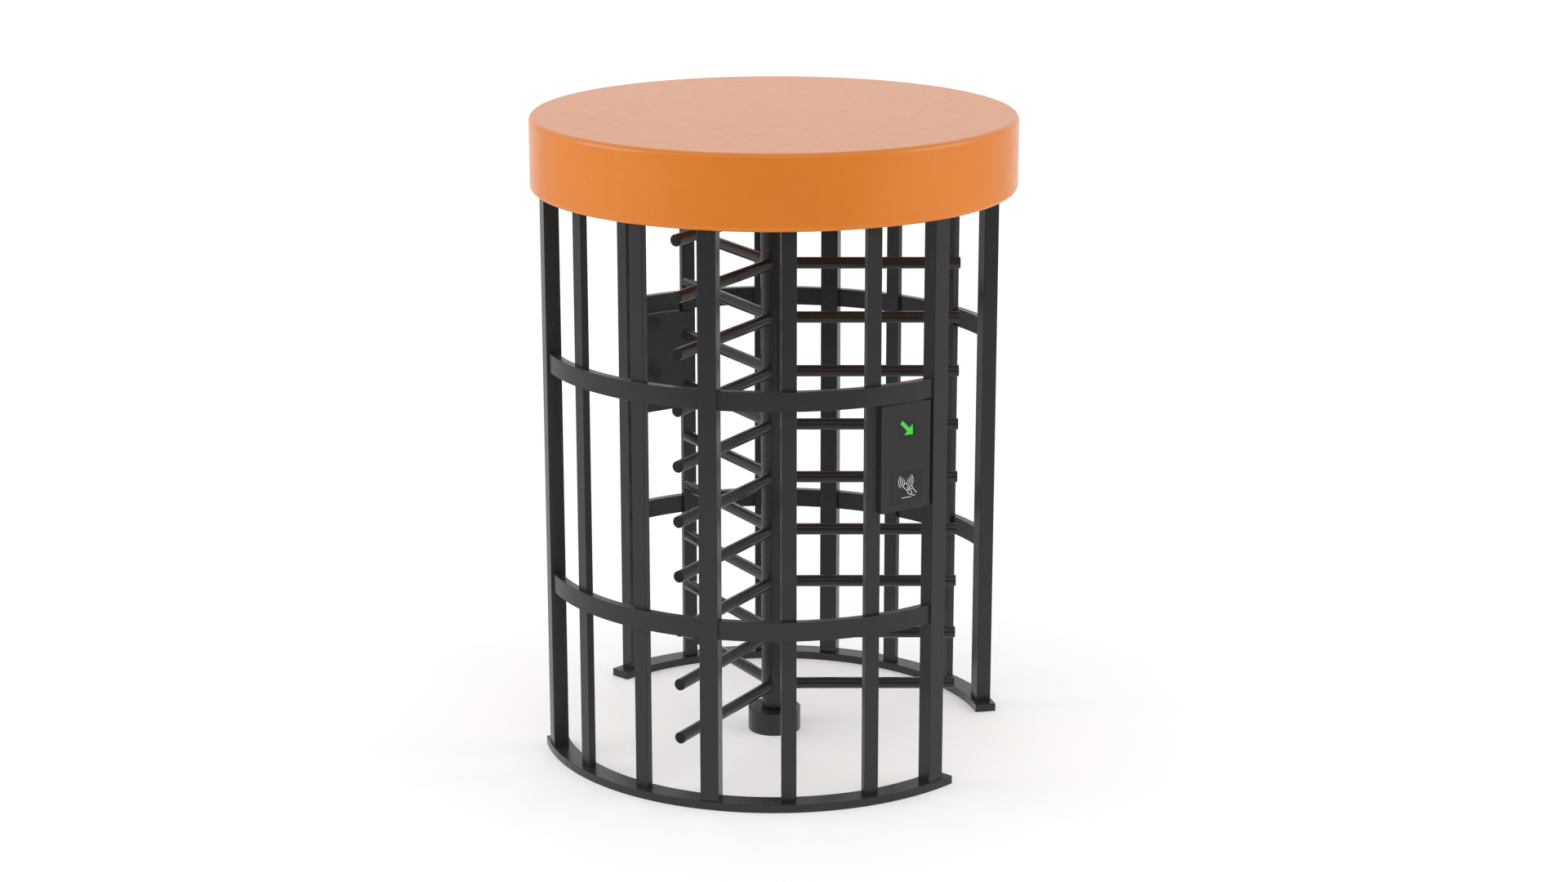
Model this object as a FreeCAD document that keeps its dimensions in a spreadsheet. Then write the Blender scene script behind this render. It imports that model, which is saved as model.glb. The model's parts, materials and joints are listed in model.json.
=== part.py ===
import FreeCAD, Part
import math
import os
import re
import Sketcher

# Full-height security turnstile with a round canopy, in millimetres.
# +Z is up and the floor is z = 0.  The origin is where the rotor axis meets the floor.
# People walk through along X.  The front curved panel is centred on -Y, the rear one on +Y.

SIZES = {
    # canopy: a hollow round sheet-metal drum that covers the head
    "canopy_radius": 870, "canopy_top": 2322, "canopy_bottom": 2058, "canopy_skin": 3,
    "canopy_rim": 18, "canopy_lip": 19,
    # curved floor rails, one under each panel
    "rail_outer": 857, "rail_inner": 779, "rail_height": 30, "rail_half_angle": 63.2,
    "rail_anchor_circle": 818, "anchor_radius": 5.1, "anchor_depth": 22, "anchor_angle": 60,
    # posts: three main and four slim rectangular tubes in each panel
    "main_post_width": 66, "main_post_depth": 55, "main_post_outer": 850, "main_post_angle": 57.8,
    "slim_post_width": 53, "slim_post_depth": 28, "slim_post_outer": 826,
    "slim_near_angle": 19, "slim_far_angle": 39.8, "post_wall": 2.5,
    # bands: rolled flats that tie the posts of a panel together
    "band_outer": 842, "band_inner": 812, "band_height": 68,
    "upper_band_bottom": 1439, "lower_band_bottom": 624,
    # head frame under the canopy
    "ring_outer": 850, "ring_inner": 762, "ring_bottom": 2062, "ring_height": 12,
    "beam_length": 1660, "beam_side": 60, "beam_wall": 4, "beam_spacing": 240,
    "soffit_radius": 761, "soffit_bottom": 2066, "soffit_skin": 2, "soffit_opening": 62,
    "plate_length": 410, "plate_width": 320, "plate_thick": 8, "plate_offset": 45,
    # canopy brackets, their studs and nuts, and the soffit screws with their spacers
    "bracket_reach": 66, "bracket_width": 40, "bracket_sheet": 4, "bracket_rise": 56,
    "bracket_gap": 0.3, "stud_height": 40, "stud_radius": 3.9, "stud_hole_radius": 4,
    "stud_length": 24, "nut_radius": 7.5, "nut_height": 6,
    "screw_radius": 4, "screw_head_radius": 7, "screw_head_height": 3, "spacer_radius": 8,
    # hexagon bolts of the head frame
    "hex_across": 17, "hex_height": 7, "hex_radius": 5, "housing_bolt_circle": 69,
    # rotor: one column with three combs of ten arms
    "column_radius": 48, "column_wall": 4, "column_bottom": 106, "column_top": 2122,
    "arm_radius": 21.2, "arm_wall": 2, "arm_reach": 671, "arm_first": 175, "arm_pitch": 200,
    "arm_count": 10, "cap_thick": 3, "cap_spigot": 15, "wing_rest_angle": 15.5,
    # the plugs in the ends of the column
    "foot_bottom": 18, "foot_ring_bottom": 86, "foot_chamfer": 5, "plug_depth": 20,
    "collar_height": 8,
    # shaft, gears and lock wheel above the column
    "shaft_radius": 25, "gear_seat_radius": 20, "shaft_top": 2278,
    "gear_window_radius": 26, "gear_window_circle": 84,
    "gear_teeth": 48, "pinion_teeth": 12, "gear_module": 6, "pressure_angle": 25,
    "backlash": 0.5, "gear_bottom": 2250, "gear_thick": 20, "pinion_overhang": 3,
    "motor_shaft_radius": 8, "motor_shaft_drop": 37, "running_gap": 0.05,
    "wheel_bottom": 2186, "wheel_thick": 10, "wheel_radius": 120,
    "hub_bottom": 2180, "hub_radius": 34,
    "index_circle": 100, "index_radius": 9.5, "index_count": 12,
    # lock bolt: a pin that rises into the lock wheel
    "bolt_radius": 8, "bolt_bottom": 2082, "bolt_top": 2182, "bolt_chamfer": 2,
    "bolt_collar_bottom": 2100.4, "bolt_collar_top": 2103.4, "bolt_collar_radius": 14,
    "solenoid_radius": 24, "solenoid_bottom": 2070, "solenoid_top": 2100, "solenoid_floor": 2078,
    "yoke_thick": 4, "yoke_width": 30, "bush_top": 2166, "bush_wall": 4,
    "bush_flange": 9, "bush_flange_thick": 5, "spring_wire": 2, "spring_turns": 5,
    # gearmotor
    "motor_radius": 48, "motor_height": 74, "motor_neck_radius": 26, "motor_neck_bottom": 80,
    "motor_neck_top": 96, "motor_bore_bottom": 66,
    # top bearing and its housing, heights above the drive plate
    "flange_radius": 80, "flange_thick": 10, "housing_radius": 58, "housing_height": 34,
    "bearing_seat": 6, "bearing_width": 24, "bearing_radius": 45, "bearing_split": 35,
    "bearing_gap": 0.15,
    # floor bearing
    "base_radius": 97.4, "base_height": 83.5, "base_anchor_circle": 70, "base_round": 1.5,
    "base_roof": 12, "base_floor": 14, "cup_radius": 36, "cup_inner": 31.3, "cup_bottom": 24,
    "cup_top": 50, "cone_radius": 31, "cone_bottom": 25, "cone_top": 49, "seal_radius": 41,
    "seal_thick": 1.8, "shaft_clearance": 5, "seal_clearance": 2,
    # controller case and power supply on the cross beams
    "case_length": 260, "case_width": 300, "case_height": 110, "case_sheet": 2,
    "case_centre": -430, "lid_overlap": 4, "lid_thick": 3,
    "supply_length": 160, "supply_height": 70, "supply_centre": 480,
    # card readers
    "reader_angle": 48.8, "reader_left": 115, "reader_right": 91, "reader_face": 840,
    "reader_back": 784, "reader_bottom": 1057, "reader_height": 378, "reader_sheet": 3,
    "reader_step": 820.5, "reader_deep_left": 98, "reader_wing": 43,
    "arrow_radius": 37, "arrow_height": 1347, "arrow_shift": 4, "arrow_gap": 0.4,
    "board_width": 120, "board_height": 200, "board_thick": 2, "board_rise": 40,
    "board_depth": 20, "standoff_radius": 4, "standoff_inset": 10,
}

doc = FreeCAD.newDocument("turnstile")
sheet = doc.addObject("Spreadsheet::Sheet", "Dims")
for row, (name, size) in enumerate(SIZES.items(), start=1):
    sheet.set(f"A{row}", name)
    sheet.set(f"B{row}", str(size))
    sheet.setAlias(f"B{row}", name)
doc.recompute()

FRONT, REAR = 270, 90          # directions of the two panels, in degrees about Z
UP = FreeCAD.Vector(0, 0, 1)
ALONG_X = FreeCAD.Rotation(FreeCAD.Vector(0, 1, 0), 90)
nodes = []


# ---------------------------------------------------------------- helpers

def formula(text):
    """The same formula with every size name pointed at the sheet."""
    return re.sub(r"[a-z_]+", lambda found: "Dims." + found.group(0)
                  if found.group(0) in SIZES else found.group(0), str(text))


def number(text):
    """What a formula comes to now."""
    result = sheet.evalExpression(formula(text))
    return float(getattr(result, "Value", result))


def bind(item, **sizes):
    """Binds properties of an object to formulas."""
    for name, text in sizes.items():
        item.setExpression(name.replace("__", "."), formula(text))


def placed(x=0, y=0, z=0, turn=0, about=UP, tilt=FreeCAD.Rotation()):
    """A placement at a point, turned about the row's Z axis afterwards."""
    local = FreeCAD.Placement(FreeCAD.Vector(number(x), number(y), number(z)), tilt)
    return FreeCAD.Placement(FreeCAD.Vector(), FreeCAD.Rotation(about, number(turn))) * local


def keep(item):
    """Marks an object as a sub-part that is written out under its label."""
    nodes.append(item)
    return item


def new_body(label, place=FreeCAD.Placement()):
    body = doc.addObject("PartDesign::Body", label)
    body.Label = label
    body.Placement = place
    return body


def new_sketch(body, role="XY_Plane"):
    sketch = body.newObject("Sketcher::SketchObject", body.Label + "_sketch")
    plane = next(part for part in body.Origin.OriginFeatures if part.Role == role)
    sketch.AttachmentSupport = (plane, [""])
    sketch.MapMode = "FlatFace"
    return sketch


def constrain(sketch, text, kind, *where):
    """A dimension of a sketch, bound to a formula."""
    size = number(text)
    place = sketch.addConstraint(Sketcher.Constraint(
        kind, *where, math.radians(size) if kind == "Angle" else size))
    name = f"size_{place}"
    sketch.renameConstraint(place, name)
    sketch.setExpression("Constraints." + name, formula(text))


def draw_circle(sketch, radius, along=0):
    """A circle on the sketch's X axis, at a distance from its origin."""
    centre = FreeCAD.Vector(number(along), 0, 0)
    edge = sketch.addGeometry(Part.Circle(centre, UP, number(radius)))
    constrain(sketch, radius, "Radius", edge)
    if number(along) == 0:
        sketch.addConstraint(Sketcher.Constraint("Coincident", edge, 3, -1, 1))
    else:
        sketch.addConstraint(Sketcher.Constraint("PointOnObject", edge, 3, -1))
        constrain(sketch, along, "DistanceX", -1, 1, edge, 3)


def draw_rectangle(sketch, size_x, size_y):
    """A rectangle centred on the sketch's origin."""
    half_x, half_y = number(size_x) / 2, number(size_y) / 2
    corners = [FreeCAD.Vector(sx * half_x, sy * half_y, 0)
               for sx, sy in ((-1, -1), (1, -1), (1, 1), (-1, 1))]
    first = sketch.GeometryCount
    for near, far in zip(corners, corners[1:] + corners[:1]):
        sketch.addGeometry(Part.LineSegment(near, far))
    for step in range(4):
        sketch.addConstraint(Sketcher.Constraint(
            "Coincident", first + step, 2, first + (step + 1) % 4, 1))
        direction = "Horizontal" if step % 2 == 0 else "Vertical"
        sketch.addConstraint(Sketcher.Constraint(direction, first + step))
    sketch.addConstraint(Sketcher.Constraint("Symmetric", first, 1, first + 1, 2, -1, 1))
    constrain(sketch, size_x, "DistanceX", first, 1, first, 2)
    constrain(sketch, size_y, "DistanceY", first + 1, 1, first + 1, 2)


def draw_polygon(sketch, points):
    """A closed outline whose corners are pairs of formulas."""
    corners = [FreeCAD.Vector(number(x), number(y), 0) for x, y in points]
    for near, far in zip(corners, corners[1:] + corners[:1]):
        sketch.addGeometry(Part.LineSegment(near, far))
    for step, (x, y) in enumerate(points):
        sketch.addConstraint(Sketcher.Constraint(
            "Coincident", step, 2, (step + 1) % len(points), 1))
        if number(x) == 0:
            sketch.addConstraint(Sketcher.Constraint("PointOnObject", step, 1, -2))
        else:
            constrain(sketch, x, "DistanceX", -1, 1, step, 1)
        if number(y) == 0:
            sketch.addConstraint(Sketcher.Constraint("PointOnObject", step, 1, -1))
        else:
            constrain(sketch, y, "DistanceY", -1, 1, step, 1)


def draw_sector(sketch, inner, outer, half_angle):
    """A piece of a flat ring, centred on the sketch's X axis."""
    low, high = math.radians(-number(half_angle)), math.radians(number(half_angle))
    rays = [FreeCAD.Vector(math.cos(angle), math.sin(angle), 0) for angle in (high, low)]
    for radius in (outer, inner):
        ring = Part.Circle(FreeCAD.Vector(), UP, number(radius))
        sketch.addGeometry(Part.ArcOfCircle(ring, low, high))
    for ray in rays:
        sketch.addGeometry(Part.LineSegment(ray * number(inner), ray * number(outer)))
    for arc, radius in ((0, outer), (1, inner)):
        sketch.addConstraint(Sketcher.Constraint("Coincident", arc, 3, -1, 1))
        constrain(sketch, radius, "Radius", arc)
    for line, arc_end, sign in ((2, 2, ""), (3, 1, "-")):
        sketch.addConstraint(Sketcher.Constraint("Coincident", line, 1, 1, arc_end))
        sketch.addConstraint(Sketcher.Constraint("Coincident", line, 2, 0, arc_end))
        constrain(sketch, f"{sign}{half_angle}", "Angle", line)


def pad(body, sketch, length):
    feature = body.newObject("PartDesign::Pad", body.Label + "_pad")
    feature.Profile = sketch
    bind(feature, Length=length)
    return feature


def pocket(body, sketch, depth, upward=False):
    """Cuts the sketch into the solid, and stops the build if nothing was cut."""
    doc.recompute()
    before = body.Shape.Volume
    feature = body.newObject("PartDesign::Pocket", body.Label + "_pocket")
    feature.Profile = sketch
    feature.Reversed = upward
    bind(feature, Length=depth)
    doc.recompute()
    if body.Shape.Volume >= before - 1:
        raise RuntimeError(body.Label + ": the pocket cuts nothing")
    return feature


def pattern(body, feature, sketch, count):
    """Repeats a feature evenly about the body's Z axis."""
    copies_feature = body.newObject("PartDesign::PolarPattern", body.Label + "_pattern")
    copies_feature.Originals = [feature]
    copies_feature.Axis = (sketch, ["N_Axis"])
    copies_feature.Angle = 360
    bind(copies_feature, Occurrences=count)
    body.Tip = copies_feature
    return copies_feature


def round_edges(body, radius, wanted, kind="Fillet"):
    """Fillets or chamfers the edges that the test picks."""
    doc.recompute()
    base = body.Tip
    names = [f"Edge{place}" for place, edge in enumerate(base.Shape.Edges, start=1)
             if wanted(edge)]
    feature = body.newObject("PartDesign::" + kind, body.Label + "_" + kind.lower())
    feature.Base = (base, names)
    bind(feature, **{"Radius" if kind == "Fillet" else "Size": radius})
    return feature


def circle_at(radius, height):
    """A test for the round edge of a given radius at a given height in the body."""
    def wanted(edge):
        curve = edge.Curve
        return (isinstance(curve, Part.Circle) and abs(curve.Radius - number(radius)) < 0.01
                and abs(curve.Center.z - number(height)) < 0.01)
    return wanted


def turned(label, outline, place=FreeCAD.Placement()):
    """A part turned about its own Z axis, from an outline of radius and height pairs."""
    body = new_body(label, place)
    sketch = new_sketch(body, "XZ_Plane")
    draw_polygon(sketch, outline)
    feature = body.newObject("PartDesign::Revolution", label + "_revolution")
    feature.Profile = sketch
    feature.ReferenceAxis = (sketch, ["V_Axis"])
    feature.Angle = 360
    return body


def sleeve(inner, outer, bottom, top):
    """The outline of a plain ring."""
    return [(inner, bottom), (outer, bottom), (outer, top), (inner, top)]


def tube(label, size_x, size_y, wall, length, place):
    """A rectangular tube that stands on its own XY plane."""
    body = new_body(label, place)
    sketch = new_sketch(body)
    draw_rectangle(sketch, size_x, size_y)
    draw_rectangle(sketch, f"{size_x} - 2 * {wall}", f"{size_y} - 2 * {wall}")
    pad(body, sketch, length)
    return body


def slab(label, size_x, size_y, height, place=FreeCAD.Placement()):
    """A rectangular block that stands on its own XY plane."""
    body = new_body(label, place)
    sketch = new_sketch(body)
    draw_rectangle(sketch, size_x, size_y)
    pad(body, sketch, height)
    return body


def cylinder(label, radius, height, x=0, y=0, z=0, tilt=FreeCAD.Rotation()):
    item = doc.addObject("Part::Cylinder", label)
    bind(item, Radius=radius, Height=height)
    item.Placement.Rotation = tilt
    bind(item, Placement__Base__x=x, Placement__Base__y=y, Placement__Base__z=z)
    return item


def cut(label, base, tools, place=FreeCAD.Placement()):
    item = doc.addObject("Part::Cut", label)
    item.Label = label
    item.Base = base
    item.Tool = tools[0] if len(tools) == 1 else group(label + "_tools", tools)
    item.Placement = place
    return item


def group(label, items):
    item = doc.addObject("Part::Compound", label)
    item.Links = items
    return item


def copies(label, source, places):
    """One node that holds a separate copy of a piece at each placement."""
    doc.recompute()
    item = doc.addObject("Part::Feature", label)
    item.Shape = Part.makeCompound([source.Shape.transformed(place.toMatrix(), True)
                                    for place in places])
    return item


def hex_bolt(label, length):
    """A hexagon bolt whose head stands on z = 0 and whose shank points down."""
    cap = doc.addObject("Part::Prism", label + "_head")
    cap.Polygon = 6
    bind(cap, Circumradius="hex_across / sqrt(3)", Height="hex_height")
    shank = cylinder(label + "_shank", "hex_radius", length, z=f"-({length})")
    bolt = doc.addObject("Part::Fuse", label)
    bolt.Base, bolt.Tool = cap, shank
    return bolt


# ---------------------------------------------------------------- panels

MAIN_ANGLES = ("-main_post_angle", "0", "main_post_angle")
SLIM_ANGLES = ("-slim_far_angle", "-slim_near_angle", "slim_near_angle", "slim_far_angle")


def floor_rail(side, direction):
    """A curved bar with three tapped anchor holes in its underside."""
    bar = new_body(f"{side}_floor_rail_bar")
    sketch = new_sketch(bar)
    draw_sector(sketch, "rail_inner", "rail_outer", "rail_half_angle")
    pad(bar, sketch, "rail_height")
    holes = [cylinder(f"{side}_anchor_hole_{place}", "anchor_radius", "anchor_depth",
                      x=f"rail_anchor_circle * cos({angle})",
                      y=f"rail_anchor_circle * sin({angle})")
             for place, angle in enumerate(("-anchor_angle", "0", "anchor_angle"), start=1)]
    return cut(f"{side}_floor_rail", bar, holes, placed(turn=direction))


def post(label, kind, angle, direction):
    """A main or slim post from the floor rail up to the head ring."""
    place = placed(x=f"{kind}_post_outer - {kind}_post_depth / 2", z="rail_height",
                   turn=f"{direction} + {angle}")
    return tube(label, f"{kind}_post_depth", f"{kind}_post_width", "post_wall",
                "ring_bottom - rail_height", place)


def band(label, bottom, direction):
    """A curved flat between the main posts, notched on its inner side for the slim posts."""
    bar = new_body(label + "_bar")
    sketch = new_sketch(bar)
    draw_sector(sketch, "band_inner", "band_outer", "main_post_angle")
    pad(bar, sketch, "band_height")
    notches = []
    for kind, angles in (("main", MAIN_ANGLES), ("slim", SLIM_ANGLES)):
        for place, angle in enumerate(angles, start=1):
            notches.append(slab(f"{label}_{kind}_notch_{place}", f"{kind}_post_depth",
                                f"{kind}_post_width", "band_height",
                                placed(x=f"{kind}_post_outer - {kind}_post_depth / 2", turn=angle)))
    return cut(label, bar, notches, placed(z=bottom, turn=direction))


for side, direction in (("front", FRONT), ("rear", REAR)):
    keep(floor_rail(side, direction))
    for place, angle in enumerate(MAIN_ANGLES, start=1):
        keep(post(f"{side}_main_post_{place}", "main", angle, direction))
    slim = [post(f"{side}_slim_post_{place}", "slim", angle, direction)
            for place, angle in enumerate(SLIM_ANGLES, start=1)]
    keep(group(f"{side}_slim_posts", slim))
    keep(band(f"{side}_upper_band", "upper_band_bottom", direction))
    keep(band(f"{side}_lower_band", "lower_band_bottom", direction))


# ---------------------------------------------------------------- canopy and head frame

RING_TOP = "ring_bottom + ring_height"
BEAM_TOP = "ring_bottom + ring_height + beam_side"
PLATE_TOP = "ring_bottom + ring_height + beam_side + plate_thick"
BEAM_BOLTS = [(sx * along, sy) for sx in (-1, 1) for sy in (-1, 1) for along in (785, 815)]
BRACKET_ANGLES = [22.5 + 45 * step for step in range(8)]
BRACKET_FACE = "canopy_radius - canopy_skin - bracket_gap"
HOUSING_BOLT_ANGLES = (45, 135, 225, 315)
SOFFIT_SCREWS = [(x, sy) for x in (-600, -200, 200, 600) for sy in (-1, 1)]
PLATE_BOLTS = [(x, sy) for x in (-140, 230) for sy in (-1, 1)]


def canopy_shell():
    """A drum of sheet metal, closed on top, with a rolled rim that turns in at the bottom."""
    body = turned("canopy_shell", [
        (0, "canopy_top"), ("canopy_radius", "canopy_top"), ("canopy_radius", "canopy_bottom"),
        ("canopy_radius - canopy_lip", "canopy_bottom"),
        ("canopy_radius - canopy_lip", "canopy_bottom + canopy_skin"),
        ("canopy_radius - canopy_skin", "canopy_bottom + canopy_skin"),
        ("canopy_radius - canopy_skin", "canopy_top - canopy_skin"),
        (0, "canopy_top - canopy_skin")])
    for height in ("canopy_top", "canopy_bottom"):
        round_edges(body, "canopy_rim", circle_at("canopy_radius", height))
    for height in ("canopy_top - canopy_skin", "canopy_bottom + canopy_skin"):
        round_edges(body, "canopy_rim - canopy_skin",
                    circle_at("canopy_radius - canopy_skin", height))
    return body


def head_ring():
    """The flat ring that the posts are welded to, drilled for the cross beams."""
    ring = turned("head_ring_flat", sleeve("ring_inner", "ring_outer", "ring_bottom", RING_TOP))
    holes = [cylinder(f"ring_hole_{place}", "hex_radius", "ring_height", x=x,
                      y=f"{sy} * beam_spacing / 2", z="ring_bottom")
             for place, (x, sy) in enumerate(BEAM_BOLTS, start=1)]
    return cut("head_ring", ring, holes)


def cross_beam(label, sy):
    """A square tube that lies across the head ring, drilled for its bolts."""
    bar = tube(label + "_bar", "beam_side", "beam_side", "beam_wall", "beam_length",
               placed(x="-beam_length / 2", y=f"{sy} * beam_spacing / 2",
                      z=f"{RING_TOP} + beam_side / 2", tilt=ALONG_X))
    spots = [x for x, side_sign in BEAM_BOLTS + PLATE_BOLTS if side_sign == sy]
    holes = [cylinder(f"{label}_hole_{place}", "hex_radius", "beam_side", x=x,
                      y=f"{sy} * beam_spacing / 2", z=RING_TOP)
             for place, x in enumerate(spots, start=1)]
    return cut(label, bar, holes)


def canopy_bracket():
    """An angle bracket that stands on the head ring, with its upright against the canopy."""
    body = new_body("canopy_bracket_form")
    sketch = new_sketch(body, "XZ_Plane")
    draw_polygon(sketch, [
        (f"{BRACKET_FACE} - bracket_reach", RING_TOP), (BRACKET_FACE, RING_TOP),
        (BRACKET_FACE, f"{RING_TOP} + bracket_rise"),
        (f"{BRACKET_FACE} - bracket_sheet", f"{RING_TOP} + bracket_rise"),
        (f"{BRACKET_FACE} - bracket_sheet", f"{RING_TOP} + bracket_sheet"),
        (f"{BRACKET_FACE} - bracket_reach", f"{RING_TOP} + bracket_sheet")])
    pad(body, sketch, "bracket_width").Midplane = True
    hole = cylinder("canopy_bracket_hole", "stud_hole_radius", "4 * bracket_sheet",
                    x=f"{BRACKET_FACE} - 2 * bracket_sheet", z=f"{RING_TOP} + stud_height",
                    tilt=ALONG_X)
    return cut("canopy_bracket", body, [hole])


def drive_plate():
    """The plate on the cross beams that carries the top bearing, the motor and the lock."""
    plate = slab("drive_plate_blank", "plate_length", "plate_width", "plate_thick",
                 placed(x="plate_offset", z=BEAM_TOP))
    holes = [cylinder("plate_shaft_hole", "shaft_radius + shaft_clearance", "plate_thick",
                      z=BEAM_TOP),
             cylinder("plate_bush_hole", "bolt_radius + bush_wall", "plate_thick",
                      x="-index_circle", z=BEAM_TOP)]
    holes += [cylinder(f"plate_hole_{place}", "hex_radius", "plate_thick", x=x,
                       y=f"{sy} * beam_spacing / 2", z=BEAM_TOP)
              for place, (x, sy) in enumerate(PLATE_BOLTS, start=1)]
    holes += [cylinder(f"plate_housing_hole_{angle}", "hex_radius", "plate_thick",
                       x=f"housing_bolt_circle * cos({angle})",
                       y=f"housing_bolt_circle * sin({angle})", z=BEAM_TOP)
              for angle in HOUSING_BOLT_ANGLES]
    return cut("drive_plate", plate, holes)


def soffit_panel():
    """The round sheet that closes the canopy from below, around the column."""
    disc = turned("soffit_disc", sleeve("soffit_opening", "soffit_radius", "soffit_bottom",
                                        "soffit_bottom + soffit_skin"))
    holes = [cylinder(f"soffit_hole_{place}", "screw_radius", "soffit_skin", x=x,
                      y=f"{sy} * beam_spacing / 2", z="soffit_bottom")
             for place, (x, sy) in enumerate(SOFFIT_SCREWS, start=1)]
    return cut("soffit_panel", disc, holes)


keep(canopy_shell())
keep(head_ring())
keep(cross_beam("cross_beam_front", -1))
keep(cross_beam("cross_beam_rear", 1))
keep(drive_plate())
keep(soffit_panel())

bracket = canopy_bracket()
bracket_places = [placed(turn=angle) for angle in BRACKET_ANGLES]
keep(copies("canopy_brackets", bracket, bracket_places))

NUT_START = "bracket_gap + bracket_sheet"
stud_nut = turned("canopy_stud_form", [
    (0, 0), ("stud_radius", 0), ("stud_radius", NUT_START), ("nut_radius", NUT_START),
    ("nut_radius", f"{NUT_START} + nut_height"), ("stud_radius", f"{NUT_START} + nut_height"),
    ("stud_radius", "stud_length"), (0, "stud_length")])
stud_places = [placed(x="canopy_radius - canopy_skin", z=f"{RING_TOP} + stud_height", turn=angle,
                      tilt=FreeCAD.Rotation(FreeCAD.Vector(0, 1, 0), -90))
               for angle in BRACKET_ANGLES]
keep(copies("canopy_studs", stud_nut, stud_places))

soffit_screw = turned("soffit_screw_form", [
    (0, "soffit_bottom - screw_head_height"),
    ("screw_head_radius", "soffit_bottom - screw_head_height"),
    ("screw_head_radius", "soffit_bottom"), ("screw_radius", "soffit_bottom"),
    ("screw_radius", "soffit_bottom + soffit_skin"),
    ("spacer_radius", "soffit_bottom + soffit_skin"), ("spacer_radius", RING_TOP), (0, RING_TOP)])
keep(copies("soffit_screws", soffit_screw,
            [placed(x=x, y=f"{sy} * beam_spacing / 2") for x, sy in SOFFIT_SCREWS]))

beam_bolt = hex_bolt("beam_bolt_form", "beam_side + ring_height")
keep(copies("beam_bolts", beam_bolt,
            [placed(x=x, y=f"{sy} * beam_spacing / 2", z=BEAM_TOP) for x, sy in BEAM_BOLTS]))
plate_bolt = hex_bolt("plate_bolt_form", "beam_side + plate_thick")
keep(copies("drive_plate_bolts", plate_bolt,
            [placed(x=x, y=f"{sy} * beam_spacing / 2", z=PLATE_TOP) for x, sy in PLATE_BOLTS]))


# ---------------------------------------------------------------- bearings

def top_bearing_housing():
    """A flanged housing bolted to the drive plate."""
    blank = turned("top_bearing_housing_blank", [
        ("shaft_radius + shaft_clearance", PLATE_TOP), ("flange_radius", PLATE_TOP),
        ("flange_radius", f"{PLATE_TOP} + flange_thick"),
        ("housing_radius", f"{PLATE_TOP} + flange_thick"),
        ("housing_radius", f"{PLATE_TOP} + housing_height"),
        ("bearing_radius", f"{PLATE_TOP} + housing_height"),
        ("bearing_radius", f"{PLATE_TOP} + bearing_seat"),
        ("shaft_radius + shaft_clearance", f"{PLATE_TOP} + bearing_seat")])
    holes = [cylinder(f"housing_hole_{angle}", "hex_radius", "flange_thick",
                      x=f"housing_bolt_circle * cos({angle})",
                      y=f"housing_bolt_circle * sin({angle})", z=PLATE_TOP)
             for angle in HOUSING_BOLT_ANGLES]
    return cut("top_bearing_housing", blank, holes)


def bearing_ring(label, inner, outer):
    low = f"{PLATE_TOP} + bearing_seat"
    return turned(label, sleeve(inner, outer, low, f"{low} + bearing_width"))


def floor_bearing_housing():
    """The round base under the column, bored for the bearing and tapped for four anchors."""
    roof = "base_height - base_roof"
    body = turned("floor_bearing_housing", [
        (0, 0), ("base_radius", 0), ("base_radius", "base_height"),
        ("shaft_radius + seal_clearance", "base_height"), ("shaft_radius + seal_clearance", roof),
        ("cup_radius", roof), ("cup_radius", "base_floor"), (0, "base_floor")])
    round_edges(body, "base_round", circle_at("base_radius", "base_height"))
    sketch = new_sketch(body)
    draw_circle(sketch, "anchor_radius", along="base_anchor_circle")
    hole = pocket(body, sketch, "anchor_depth", upward=True)
    pattern(body, hole, sketch, 4)
    return body


keep(top_bearing_housing())
housing_bolt = hex_bolt("housing_bolt_form", "plate_thick + flange_thick")
keep(copies("bearing_housing_bolts", housing_bolt,
            [placed(x="housing_bolt_circle", z=f"{PLATE_TOP} + flange_thick", turn=angle)
             for angle in HOUSING_BOLT_ANGLES]))
keep(bearing_ring("top_bearing_outer_ring", "bearing_split + bearing_gap", "bearing_radius"))
keep(bearing_ring("top_bearing_inner_ring", "shaft_radius", "bearing_split - bearing_gap"))
keep(floor_bearing_housing())
keep(turned("floor_bearing_cup", sleeve("cup_inner", "cup_radius", "cup_bottom", "cup_top")))
keep(turned("floor_bearing_cone", sleeve("shaft_radius", "cone_radius", "cone_bottom",
                                         "cone_top")))
keep(turned("floor_bearing_seal", sleeve("shaft_radius + seal_clearance", "seal_radius",
                                         "base_height", "base_height + seal_thick")))


# ---------------------------------------------------------------- rotor

WING_NAMES = ("wing_a", "wing_b", "wing_c")


def arm_tube():
    """One level arm along X, coped to the column, with room for its end cap."""
    length = "arm_reach - cap_thick"
    outside = cylinder("arm_outside", "arm_radius", length, tilt=ALONG_X)
    bore = cylinder("arm_bore", "arm_radius - arm_wall", length, tilt=ALONG_X)
    cope = cylinder("arm_cope", "column_radius", "4 * arm_radius", z="-2 * arm_radius")
    return cut("arm_form", outside, [bore, cope])


def arm_levels(turn, tilt=FreeCAD.Rotation(), x=0):
    return [placed(x=x, z=f"arm_first + {level} * arm_pitch", turn=turn, tilt=tilt)
            for level in range(int(number("arm_count")))]


keep(turned("column_tube", sleeve("column_radius - column_wall", "column_radius",
                                  "column_bottom", "column_top")))

foot = turned("column_foot", [
    (0, "foot_bottom"), ("shaft_radius", "foot_bottom"), ("shaft_radius", "foot_ring_bottom"),
    ("column_radius", "foot_ring_bottom"), ("column_radius", "column_bottom"),
    ("column_radius - column_wall", "column_bottom"),
    ("column_radius - column_wall", "column_bottom + plug_depth"),
    (0, "column_bottom + plug_depth")])
round_edges(foot, "foot_chamfer", circle_at("column_radius", "foot_ring_bottom"), "Chamfer")
keep(foot)

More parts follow.
